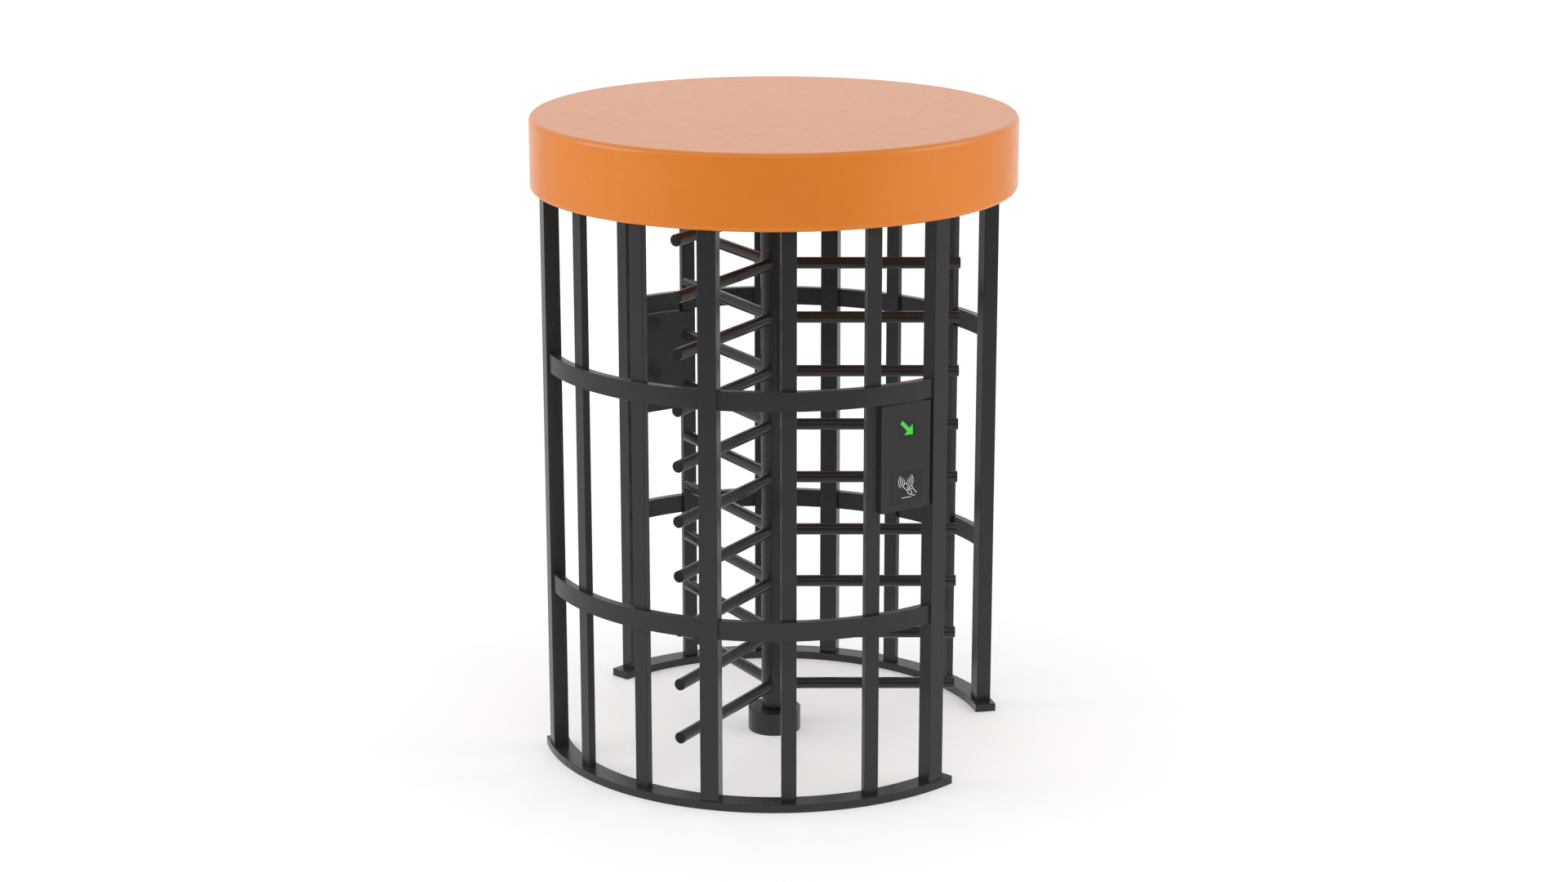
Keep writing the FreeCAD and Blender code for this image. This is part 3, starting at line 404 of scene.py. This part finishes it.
POST_ROUND = 0.0025        # corner radius of the rectangular tubes
FLAT_ROUND = 0.0016        # edge radius of the bands and rails
RING_STEP = 1.0            # degrees between the sections of a curved piece
SLIM_GAP = math.radians(5)     # more than a slim post spans, less than the space between two
BAND_THICKNESS = 0.030
BAND_END = 0.03            # radians from the middle of a main post to the end of a band, inside it


def straight_post(box, angle):
    """A rounded rectangular tube that stands in a box seen along a direction."""
    (near, far), (left, right), (low, high) = box
    centre = outward(angle) * (near + far) / 2 + sideways(angle) * (left + right) / 2
    outline = rounded((far - near) / 2, (right - left) / 2, POST_ROUND, steps=5)
    return loft([[centre + outward(angle) * u + sideways(angle) * v + UP * height
                  for u, v in outline] for height in (low, high)])


def curved_bar(radii, heights, start, end, radius, rounded_ends):
    """A bar of rounded rectangular section along an arc about the rotor axis."""
    middle, level = sum(radii) / 2, sum(heights) / 2
    half_u, half_v = (radii[1] - radii[0]) / 2, (heights[1] - heights[0]) / 2
    stations = [(start, 0.0), (end, 0.0)]
    if rounded_ends:
        near = [(start + distance / middle, inset) for distance, inset in end_steps(radius)]
        far = [(end - distance / middle, inset) for distance, inset in end_steps(radius)]
        stations = near + far[::-1]
    first = stations[len(stations) // 2 - 1][0]
    last = stations[len(stations) // 2][0]
    count = max(2, round(math.degrees(last - first) / RING_STEP))
    between = [(first + (last - first) * k / count, 0.0) for k in range(1, count)]
    stations = stations[:len(stations) // 2] + between + stations[len(stations) // 2:]
    return loft([[outward(angle) * (middle + u) + UP * (level + v)
                  for u, v in rounded(half_u, half_v, radius, inset)]
                 for angle, inset in stations])


def carve(made, cutters):
    """Cuts shapes out of a piece."""
    made.modifiers.clear()
    helpers = [mesh_object(f"cutter_{place}", shape) for place, shape in enumerate(cutters)]
    for helper in helpers:
        cutting = made.modifiers.new(helper.name, "BOOLEAN")
        cutting.operation = "DIFFERENCE"
        cutting.object = helper
    bpy.context.view_layer.update()
    solid = bpy.data.meshes.new_from_object(
        made.evaluated_get(bpy.context.evaluated_depsgraph_get()))
    made.modifiers.clear()
    made.data = solid
    smooth(made)
    for helper in helpers:
        bpy.data.objects.remove(helper)


RAIL_ANCHORS = next(mount["dims"] for mount in frame["record"]["mounts"]
                    if mount["name"] == "rail_anchors")
ANCHOR_CIRCLE = RAIL_ANCHORS["pcd_mm"] / 2000
ANCHOR_HOLE = RAIL_ANCHORS["hole_r_mm"] / 1000
ANCHOR_TURNS = (-60, 0, 60)    # degrees from the middle of a rail
ANCHOR_DEPTH = 0.022
CUT_MARGIN = 0.002             # how far a cutter starts below the rail


def anchor_hole(angle):
    """What is cut out of a rail for one of its anchors."""
    return lathe([(ANCHOR_HOLE, -CUT_MARGIN), (ANCHOR_HOLE, ANCHOR_DEPTH)],
                 outward(angle) * ANCHOR_CIRCLE, count=32)


for side in SIDES:
    middle = PANEL_MIDDLE[side]
    main_angles = []
    for place in (1, 2, 3):
        node = f"{side}_main_post_{place}"
        angle = direction(node)
        main_angles.append(angle)
        piece(f"{node}_tube", straight_post(local_box(node, angle), angle), "frame",
              BLACK, [node])

    node = f"{side}_slim_posts"
    turns = sorted(math.remainder(math.atan2(v.co.y, v.co.x) - middle, 2 * math.pi)
                   for v in NODES[node].data.vertices)
    groups = [[turns[0]]]
    for turn in turns[1:]:
        if turn - groups[-1][-1] > SLIM_GAP:
            groups.append([])
        groups[-1].append(turn)
    shapes = []
    for group in groups:
        angle = middle + (group[0] + group[-1]) / 2
        shapes.append(straight_post(local_box(node, angle, SLIM_GAP), angle))
    piece(f"{side}_slim_tubes", joined(*shapes), "frame", BLACK, [node])

    for level in ("upper", "lower"):
        node = f"{side}_{level}_band"
        radii, heights, _ = polar_box(node, middle)
        radii = (max(radii) - BAND_THICKNESS, max(radii))
        spans = []
        for near, far in zip(main_angles, main_angles[1:]):
            gap = math.remainder(far - near, 2 * math.pi)
            spans.append(curved_bar(radii, heights, near + BAND_END, near + gap - BAND_END,
                                    FLAT_ROUND, False))
        piece(f"{side}_{level}_band_flat", joined(*spans), "frame", BLACK,
              [node])

    node = f"{side}_floor_rail"
    radii, heights, turns = polar_box(node, middle)
    rail = piece(f"{node}_bar", curved_bar(radii, heights, middle + turns[0], middle + turns[1],
                                           FLAT_ROUND, True),
                 "frame", BLACK, [node])
    carve(rail, [anchor_hole(middle + math.radians(turn)) for turn in ANCHOR_TURNS])


# ---------------------------------------------------------------- canopy

CANOPY_RIM = 0.018         # outer radius of the rolled rims
CANOPY_LIP = 0.001         # flat edge inside the lower rim
SKIN = 0.003
INNER_RING, OUTER_RING = 0.3, 0.6      # rings that divide the flat top
low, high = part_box("canopy_shell")
bottom, top = low.z, high.z
rim_centre = high.x - CANOPY_RIM
inner_rim = CANOPY_RIM - SKIN
profile = [(0.0, top), (INNER_RING, top), (OUTER_RING, top)]
profile += arc((rim_centre, top - CANOPY_RIM), CANOPY_RIM, 90, 0, 12)
profile += arc((rim_centre, bottom + CANOPY_RIM), CANOPY_RIM, 0, -90, 12)
profile += [(rim_centre - CANOPY_LIP, bottom), (rim_centre - CANOPY_LIP, bottom + SKIN)]
profile += arc((rim_centre, bottom + CANOPY_RIM), inner_rim, -90, 0, 8)
profile += arc((rim_centre, top - CANOPY_RIM), inner_rim, 0, 90, 8)
profile += [(OUTER_RING, top - SKIN), (0.0, top - SKIN)]
piece("canopy_drum", lathe(profile, count=360), "frame", ORANGE, ["canopy_shell"])


# ---------------------------------------------------------------- rotor

SPIGOT_RADIUS = 0.025      # the column's stub in the floor bearing
COLUMN_BOTTOM, COLUMN_CHAMFER = 0.086, 0.005
SEAM_HALF, SEAM_DEPTH = 0.0008, 0.0006     # the groove where the tube meets its foot
ARM_COUNT = 10
ARM_SIDES = 48
ARM_FILLET = 0.0018
CAP_ROUND = 0.0022
PLUG_DEPTH, PLUG_STEP = 0.004, 0.0026      # the part of a cap inside its tube

low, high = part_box("column_tube")
column_radius = high.x
foot_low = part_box("column_foot")[0].z
profile = [(0.0, foot_low), (SPIGOT_RADIUS, foot_low), (SPIGOT_RADIUS, COLUMN_BOTTOM),
           (column_radius - COLUMN_CHAMFER, COLUMN_BOTTOM),
           (column_radius, COLUMN_BOTTOM + COLUMN_CHAMFER),
           (column_radius, low.z - SEAM_HALF), (column_radius - SEAM_DEPTH, low.z),
           (column_radius, low.z + SEAM_HALF), (column_radius, high.z), (0.0, high.z)]
piece("column_skin", lathe(profile, count=128), "rotor", ROTOR_BLACK,
      ["column_tube", "column_foot"], sharp=30)

cap_out = max(local_box("arm_end_caps", mean_direction("wing_a_arms"), 0.2)[0])
arm_radius = local_box("wing_a_arms", mean_direction("wing_a_arms"))[1][1]


def arm(angle, level, reach):
    """One arm tube: a small weld fillet at the column and a plain round tube out to its cap."""
    out, side = outward(angle), sideways(angle)
    around = [2 * math.pi * k / ARM_SIDES for k in range(ARM_SIDES)]
    rings = []
    fillet = [(ARM_FILLET * (1 - math.cos(math.radians(turn))),
               ARM_FILLET * (1 - math.sin(math.radians(turn)))) for turn in (0, 30, 60, 90)]
    for lift, widen in fillet:
        ring = []
        for turn in around:
            width, height = math.cos(turn), math.sin(turn)
            radius = arm_radius + widen
            start = math.sqrt(column_radius ** 2 - (radius * width) ** 2) + lift
            ring.append(out * start + side * width * radius + UP * (level + height * radius))
        rings.append(ring)
    rings.append([out * reach + side * math.cos(turn) * arm_radius
                  + UP * (level + math.sin(turn) * arm_radius) for turn in around])
    return loft(rings)


cap_shapes = []
for name in WINGS:
    node = f"{name}_arms"
    angle = mean_direction(node)
    (_, tube_end), _, (low_z, high_z) = local_box(node, angle)
    first, last = low_z + arm_radius, high_z - arm_radius
    levels = [first + (last - first) * k / (ARM_COUNT - 1) for k in range(ARM_COUNT)]
    piece(f"{name}_tubes", joined(*[arm(angle, level, tube_end) for level in levels]), "rotor",
          ROTOR_BLACK, [node])
    thick = cap_out - tube_end
    cap = [(0.0, -PLUG_DEPTH), (arm_radius - PLUG_STEP, -PLUG_DEPTH),
           (arm_radius - PLUG_STEP, 0.0), (arm_radius, 0.0)]
    cap += arc((arm_radius - CAP_ROUND, thick - CAP_ROUND), CAP_ROUND, 0, 90, 5)
    cap += [(0.0, thick)]
    cap_shapes += [lathe(cap, outward(angle) * tube_end + UP * level, outward(angle), UP,
                         ARM_SIDES) for level in levels]
piece("arm_caps", joined(*cap_shapes), "rotor", CAP, ["arm_end_caps"])


# ---------------------------------------------------------------- return spring of the lock

SPRING_TURNS, SPRING_STEPS = 5, 28
SPRING_WIRE = 0.001        # radius of the wire
low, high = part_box("lock_spring")
lock_axis = Vector(((low.x + high.x) / 2, (low.y + high.y) / 2, 0))
coil_radius = (high.x - low.x) / 2 - SPRING_WIRE
rise = (high.z - low.z - 2 * SPRING_WIRE) / (SPRING_TURNS * SPRING_STEPS)
rings = []
for step in range(SPRING_TURNS * SPRING_STEPS + 1):
    angle = 2 * math.pi * step / SPRING_STEPS
    centre = lock_axis + outward(angle) * coil_radius + UP * (low.z + SPRING_WIRE + rise * step)
    rings.append([centre + outward(angle) * across + UP * height
                  for across, height in arc((0, 0), SPRING_WIRE, 0, 360, 16)[:-1]])
coil = piece("return_spring_coil", loft(rings), "lock_pin", SPRING, ["lock_spring"])
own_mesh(coil)


# ---------------------------------------------------------------- card readers

CASE_ROUND = 0.003         # corner radius of the case and its face sheet
SHEET_EDGE = 0.0012        # rounding of the sheet, and the groove behind it
STEP_MARGIN = 0.001        # how near a corner lies to a side that it belongs to
STEP_EDGE = 0.0003         # how far the deep part of the case sits inside its front
LENS_ROUND = 0.0008
LENS_GAP, HOLE_EDGE = 0.0005, 0.0006       # around the lens, and the bevel of its hole
ARROW_RISE = 0.0004
PAD_HEIGHT, PAD_SHIFT = 1.140, 0.0017      # the pad's middle above the floor and to the right
PAD_HALF_WIDTH, PAD_HALF_HEIGHT = 0.0680, 0.0575
PAD_ROUND, PAD_PROUD, PAD_SUNK = 0.006, 0.0006, 0.001
ICON_SHIFT = 0.0077        # the pictogram's middle to the right of the case's
ARROW_OUTLINE = [(0.0235, -0.0235), (0.0223, 0.0123), (0.0093, 0.0004), (-0.0198, 0.0295),
                 (-0.0295, 0.0198), (-0.0004, -0.0093), (-0.0123, -0.0223)]
WAVE_CENTRE = (-0.0073, 0.0198)
WAVE_RADII = (0.0076, 0.0153, 0.0229, 0.0306)
CARD = [(-0.0096, 0.0148), (0.0089, -0.0017), (-0.0021, -0.0138), (-0.0206, 0.0027)]
HAND = [
    [(0.0089, -0.0017), (0.0150, 0.0004), (0.0190, -0.0030), (0.0240, -0.0100),
     (0.0300, -0.0190), (0.0350, -0.0245), (0.0385, -0.0250)],
    [(-0.0030, -0.0020), (0.0060, -0.0065), (0.0130, -0.0092), (0.0190, -0.0118)],
    [(-0.0021, -0.0138), (0.0030, -0.0118), (0.0092, -0.0140), (0.0150, -0.0205),
     (0.0190, -0.0262), (0.0150, -0.0290), (0.0070, -0.0280), (0.0020, -0.0220),
     (-0.0021, -0.0138)],
    [(0.0150, -0.0290), (0.0195, -0.0330), (0.0250, -0.0345), (0.0310, -0.0340)],
]
LINE = [(-0.0225, -0.0378), (0.0145, -0.0378)]
STROKE = 0.00105           # half the width of a printed line
INK = 0.0002               # how far the print stands off the pad
TIP = 5                    # points in the round end of a printed line
WAVE_SPREAD = 40           # degrees to each side of a wave's middle


def smooth_line(points, steps=6):
    """A smooth line through points."""
    if len(points) < 3:
        return points
    made = []
    padded = [points[0]] + list(points) + [points[-1]]
    for a, b, c, d in zip(padded, padded[1:], padded[2:], padded[3:]):
        for k in range(steps):
            t = k / steps
            made.append(tuple(0.5 * (2 * q + (r - p) * t + (2 * p - 5 * q + 4 * r - s) * t ** 2
                                     + (3 * q - p - 3 * r + s) * t ** 3)
                              for p, q, r, s in zip(a, b, c, d)))
    return made + [points[-1]]


def stroke(points, place):
    """A raised printed line with round ends; place turns (across, up, out) into the frame."""
    left, right = [], []
    count = len(points)
    for k, (x, y) in enumerate(points):
        ahead, behind = points[min(k + 1, count - 1)], points[max(k - 1, 0)]
        dx, dy = ahead[0] - behind[0], ahead[1] - behind[1]
        size = math.hypot(dx, dy)
        nx, ny = -dy / size * STROKE, dx / size * STROKE
        left.append((x + nx, y + ny))
        right.append((x - nx, y - ny))
    start = math.degrees(math.atan2(left[0][1] - points[0][1], left[0][0] - points[0][0]))
    end = math.degrees(math.atan2(right[-1][1] - points[-1][1], right[-1][0] - points[-1][0]))
    outline = (arc(points[0], STROKE, start, start + 180, TIP + 1)[1:-1] + right
               + arc(points[-1], STROKE, end, end + 180, TIP + 1)[1:-1] + left[::-1])
    half = len(outline)
    spots = [place(x, y, height) for height in (0.0, INK) for x, y in outline]
    # the strip is capped by quads between its two sides, so bends stay clean
    faces = [(k, (k + 1) % half, half + (k + 1) % half, half + k) for k in range(half)]
    faces += strip_faces(count, 0) + strip_faces(count, half)
    return spots, faces


def strip_faces(count, start):
    """Faces that fill a stroke's outline: one at each end and quads along its length."""
    right = [start + TIP + k for k in range(count)]
    left = [start + 2 * TIP + 2 * count - 1 - k for k in range(count)]
    faces = [(right[k], right[k + 1], left[k + 1], left[k]) for k in range(count - 1)]
    faces.append(tuple([left[0]] + [start + k for k in range(TIP)] + [right[0]]))
    faces.append(tuple([right[-1]] + [start + TIP + count + k for k in range(TIP)] + [left[-1]]))
    return faces


def plate_ring(u, v, radius, inset, along=14):
    """A rounded rectangle with extra points along its sides."""
    corners = rounded(u, v, radius, inset, 5)
    per = len(corners) // 4
    ring = []
    for corner in range(4):
        ring += corners[corner * per:(corner + 1) * per]
        here, there = ring[-1], corners[(corner + 1) * per % len(corners)]
        ring += [(here[0] + (there[0] - here[0]) * k / along,
                  here[1] + (there[1] - here[1]) * k / along) for k in range(1, along)]
    return ring


def facing(node):
    """The direction in which a flat sheet faces, away from the axis."""
    widest = max(NODES[node].data.polygons, key=lambda face: face.area)
    angle = math.atan2(widest.normal.y, widest.normal.x)
    if outward(angle).dot(outward(direction(node))) < 0:
        angle += math.pi
    return angle


for side in SIDES:
    angle = facing(f"{side}_reader_face")
    out, across = outward(angle), sideways(angle)
    (near, _), (left, right), (low_z, high_z) = local_box(f"{side}_reader_case", angle)
    (sheet, face), _, _ = local_box(f"{side}_reader_face", angle)
    middle_t, middle_z = (left + right) / 2, (low_z + high_z) / 2
    half_t, half_z = (right - left) / 2, (high_z - low_z) / 2
    corners = [(vertex.co.dot(out), vertex.co.dot(across))
               for vertex in NODES[f"{side}_reader_case"].data.vertices]
    deep_left = min(t for n, t in corners if n < near + STEP_MARGIN)
    step = min(n for n, t in corners if t < left + STEP_MARGIN)
    deep_half, deep_shift = (right - deep_left) / 2, (deep_left - left) / 2

    def spot(t, z, n, middle_t=middle_t, out=out, across=across):
        """A point to the right of the case's middle, above the floor and out from the axis."""
        return out * n + across * (middle_t + t) + UP * z

    rings = [[spot(deep_shift + u, middle_z + v, n)
              for u, v in rounded(deep_half, half_z, CASE_ROUND, STEP_EDGE, 5)]
             for n in (near, step)]
    groove = sheet - SHEET_EDGE
    rings += [[spot(u, middle_z + v, n)
               for u, v in rounded(half_t, half_z, CASE_ROUND, inset, 5)]
              for n, inset in [(step, 0.0), (groove, 0.0), (groove, SHEET_EDGE),
                               (sheet, SHEET_EDGE)]]
    piece(f"{side}_reader_box", loft(rings), "frame", BLACK,
          [f"{side}_reader_case"])

    lens_box = local_box(f"{side}_arrow_lens", angle)
    lens_t, lens_z = sum(lens_box[1]) / 2 - middle_t, sum(lens_box[2]) / 2
    lens_radius = (lens_box[2][1] - lens_box[2][0]) / 2
    hole_radius = lens_radius + LENS_GAP
    sections = []
    for n, inset in [(sheet, 0.0)] + [(face - SHEET_EDGE + rise, SHEET_EDGE - back)
                                      for back, rise in reversed(end_steps(SHEET_EDGE))]:
        sections.append([spot(u, middle_z + v, n)
                         for u, v in plate_ring(half_t, half_z, CASE_ROUND, inset)])
    for n, widen in ((face, HOLE_EDGE), (face - HOLE_EDGE, 0.0), (sheet, 0.0)):
        ring = []
        for u, v in plate_ring(half_t, half_z, CASE_ROUND, 0.0):
            du, dv = u - lens_t, v + middle_z - lens_z
            size = math.hypot(du, dv)
            ring.append(spot(lens_t + du / size * (hole_radius + widen),
                             lens_z + dv / size * (hole_radius + widen), n))
        sections.append(ring)
    piece(f"{side}_reader_front", loft(sections, closed=True), "frame", PANEL,
          [f"{side}_reader_face"])

    thick = face - sheet
    profile = [(0.0, 0.0), (lens_radius, 0.0), (lens_radius, thick - LENS_ROUND)]
    profile += arc((lens_radius - LENS_ROUND, thick - LENS_ROUND), LENS_ROUND, 0, 90, 4)[1:]
    profile += [(0.0, thick)]
    piece(f"{side}_lamp_lens", lathe(profile, spot(lens_t, lens_z, sheet), out, UP), "frame",
          LENS, [f"{side}_arrow_lens"])

    rings = [[spot(lens_t + u, lens_z + v, n) for u, v in ARROW_OUTLINE]
             for n in (face, face + ARROW_RISE)]
    piece(f"{side}_arrow", loft(rings), "frame", ARROW)

    edge = [(PAD_PROUD * math.cos(math.radians(turn)), PAD_PROUD * math.sin(math.radians(turn)))
            for turn in (30, 60, 90)]
    rings = [[spot(PAD_SHIFT + u, PAD_HEIGHT + v, n)
              for u, v in rounded(PAD_HALF_WIDTH, PAD_HALF_HEIGHT, PAD_ROUND, inset, 6)]
             for n, inset in [(face - PAD_SUNK, 0.0), (face, 0.0)]
             + [(face + rise, PAD_PROUD - back) for back, rise in edge]]
    piece(f"{side}_card_pad", loft(rings), "frame", PAD_BLACK)

    def ink(x, y, height, spot=spot, face=face):
        """A point of the pictogram, in its own plane and off the pad."""
        return spot(ICON_SHIFT + x, PAD_HEIGHT + y, face + PAD_PROUD + height)

    lines = [smooth_line(line) for line in HAND] + [LINE]
    lines += [arc(WAVE_CENTRE, radius, turn - WAVE_SPREAD, turn + WAVE_SPREAD, 12)
              for radius in WAVE_RADII for turn in (0, 180)]
    lines += [[here, there] for here, there in zip(CARD, CARD[1:] + CARD[:1])]
    piece(f"{side}_tap_icon", joined(*[stroke(line, ink) for line in lines]), "frame",
          PRINT)


# ---------------------------------------------------------------- floor

FLOOR_RADIUS, FLOOR_SIDES = 90.0, 72
GLOW_NEAR, GLOW_FAR = 0.235, 0.33          # glow of the floor near the object and far from it; the weaker glow near the object is painted shade
GLOW_START, GLOW_END = 1.5, 8.0            # the radii between which it changes

# The floor glows so that it reads white, and glows less near the object: painted shade on the
# floor around the object.
floor_mesh = bpy.data.meshes.new("floor")
floor_mesh.from_pydata([outward(2 * math.pi * k / FLOOR_SIDES) * FLOOR_RADIUS
                        for k in range(FLOOR_SIDES)], [], [tuple(range(FLOOR_SIDES))])
floor = placed("floor", floor_mesh)
paper = Finish("floor_paper", Roughness=0.7, Specular_IOR_Level=0.15,
               Emission_Color=(1, 0.995, 0.99, 1))
paper.link(paper.colours(paper.noise(0.8, 2), (0.3, (0.80, 0.79, 0.785)),
                         (0.7, (0.81, 0.80, 0.795))), "Base Color")
centre = paper.node("ShaderNodeVectorMath")
centre.operation = "LENGTH"
paper.tree.links.new(paper.place, centre.inputs[0])
# painted shade: the floor's glow is weaker near the object
paper.link(paper.span(centre.outputs["Value"], GLOW_NEAR, GLOW_FAR, GLOW_START, GLOW_END),
           "Emission Strength")
floor_mesh.materials.append(paper.material)
floor.visible_glossy = False


# ---------------------------------------------------------------- camera

CAMERA_AZIMUTH = math.radians(285.5)
CAMERA_DISTANCE, CAMERA_HEIGHT = 10.891, 4.074
CAMERA_PITCH, CAMERA_YAW = 0.26568, 0.0033     # radians down, and off the rotor axis
FOCAL_PIXELS, FRAME_PIXELS = 3781.3, 1920
SENSOR_WIDTH = 36.0
CLIP_END = 400

heading = CAMERA_AZIMUTH + math.pi - CAMERA_YAW
aim = outward(heading) * math.cos(CAMERA_PITCH) - UP * math.sin(CAMERA_PITCH)
lens = bpy.data.cameras.new("camera")
lens.sensor_width = SENSOR_WIDTH
lens.lens = FOCAL_PIXELS / FRAME_PIXELS * SENSOR_WIDTH
lens.clip_end = CLIP_END
camera = placed("camera", lens)
camera.location = outward(CAMERA_AZIMUTH) * CAMERA_DISTANCE + UP * CAMERA_HEIGHT
camera.rotation_mode = "QUATERNION"
camera.rotation_quaternion = aim.to_track_quat("-Z", "Y")
bpy.context.scene.camera = camera


# ---------------------------------------------------------------- reflection screen

# Only gloss sees this: a floor that is bright near the object, with a wall around it. Further
# out, its tone depends on the direction, and it is dark towards the side the photograph is
# taken from. It stays where it is when the camera moves.
SCREEN_RADIUS, SCREEN_HEIGHT = 20.0, 11.0
SCREEN_START = 0.046       # radius of the first ring of the floor
NEAR_TONE, NEAR_RADIUS, FAR_RADIUS = 0.8, 4.6, 9.0
WALL_TONES = ((0.0, 0.0), (0.09, 0.0), (0.19, 0.45), (0.29, 0.6), (0.86, 0.62), (0.95, 0.95))
points, faces = lathe([(SCREEN_START, 0.0), (SCREEN_RADIUS, 0.0),
                       (SCREEN_RADIUS, SCREEN_HEIGHT)])
screen_mesh = bpy.data.meshes.new("reflection_screen")
screen_mesh.from_pydata(points, [], faces[:-1])
screen = placed("reflection_screen", screen_mesh)
glow = Finish("screen_glow", Base_Color=(0, 0, 0, 1), Roughness=1.0, Specular_IOR_Level=0.0,
              Emission_Strength=1.0)
flat = glow.node("ShaderNodeMapping", Vector=glow.place, Rotation=(0, 0, -CAMERA_AZIMUTH),
                 Scale=(1, 1, 0)).outputs["Vector"]
reach = glow.node("ShaderNodeVectorMath")
reach.operation = "LENGTH"
heading = glow.node("ShaderNodeVectorMath")
heading.operation = "NORMALIZE"
for step in (reach, heading):
    glow.tree.links.new(flat, step.inputs[0])
split = glow.node("ShaderNodeSeparateXYZ", Vector=heading.outputs["Vector"])
away = glow.span(split.outputs["X"], 0.0, 1.0, 1.0, -1.0)
tones = glow.node("ShaderNodeMix")
tones.data_type = "RGBA"
glow.tree.links.new(glow.span(reach.outputs["Value"], 0.0, 1.0, NEAR_RADIUS, FAR_RADIUS),
                    tones.inputs["Factor"])
near_socket, far_socket = [put for put in tones.inputs if put.type == "RGBA"]
near_socket.default_value = (NEAR_TONE, NEAR_TONE, NEAR_TONE, 1)
glow.tree.links.new(glow.colours(away, *[(place, (tone,) * 3) for place, tone in WALL_TONES]),
                    far_socket)
glow.link(next(out for out in tones.outputs if out.type == "RGBA"), "Emission Color")
screen_mesh.materials.append(glow.material)
screen.visible_camera = screen.visible_diffuse = screen.visible_shadow = False
screen.visible_transmission = screen.visible_volume_scatter = False


# ---------------------------------------------------------------- light

LIGHT_DISTANCE, LIGHT_SIZE = 8.0, 5.0
LIGHT_ELEVATION = math.radians(22)
LIGHT_TARGET = UP * 1.2
SKY_STRENGTH, ZENITH_TONE = 1.08, 0.76


def softbox(name, azimuth, power):
    """A square area light aimed at the middle of the object."""
    light = bpy.data.lights.new(name, "AREA")
    light.energy = power
    light.size = LIGHT_SIZE
    made = placed(name, light)
    towards = outward(azimuth) * math.cos(LIGHT_ELEVATION) + UP * math.sin(LIGHT_ELEVATION)
    made.location = LIGHT_TARGET + towards * LIGHT_DISTANCE
    made.rotation_mode = "QUATERNION"
    made.rotation_quaternion = (-towards).to_track_quat("-Z", "Y")


softbox("left", math.radians(205), 150)
softbox("right", math.radians(6), 130)

world = bpy.data.worlds.new("studio")
world.use_nodes = True
nodes, links = world.node_tree.nodes, world.node_tree.links
background = nodes["Background"]
place = nodes.new("ShaderNodeTexCoord")
split = nodes.new("ShaderNodeSeparateXYZ")
dome = nodes.new("ShaderNodeValToRGB")
dome.color_ramp.elements[0].color = (1, 1, 1, 1)
dome.color_ramp.elements[1].color = (ZENITH_TONE, ZENITH_TONE, ZENITH_TONE, 1)
links.new(place.outputs["Generated"], split.inputs["Vector"])
links.new(split.outputs["Z"], dome.inputs["Fac"])
links.new(dome.outputs["Color"], background.inputs["Color"])
socket(background, "Strength", SKY_STRENGTH)
bpy.context.scene.world = world
bpy.context.scene.view_settings.view_transform = "Standard"
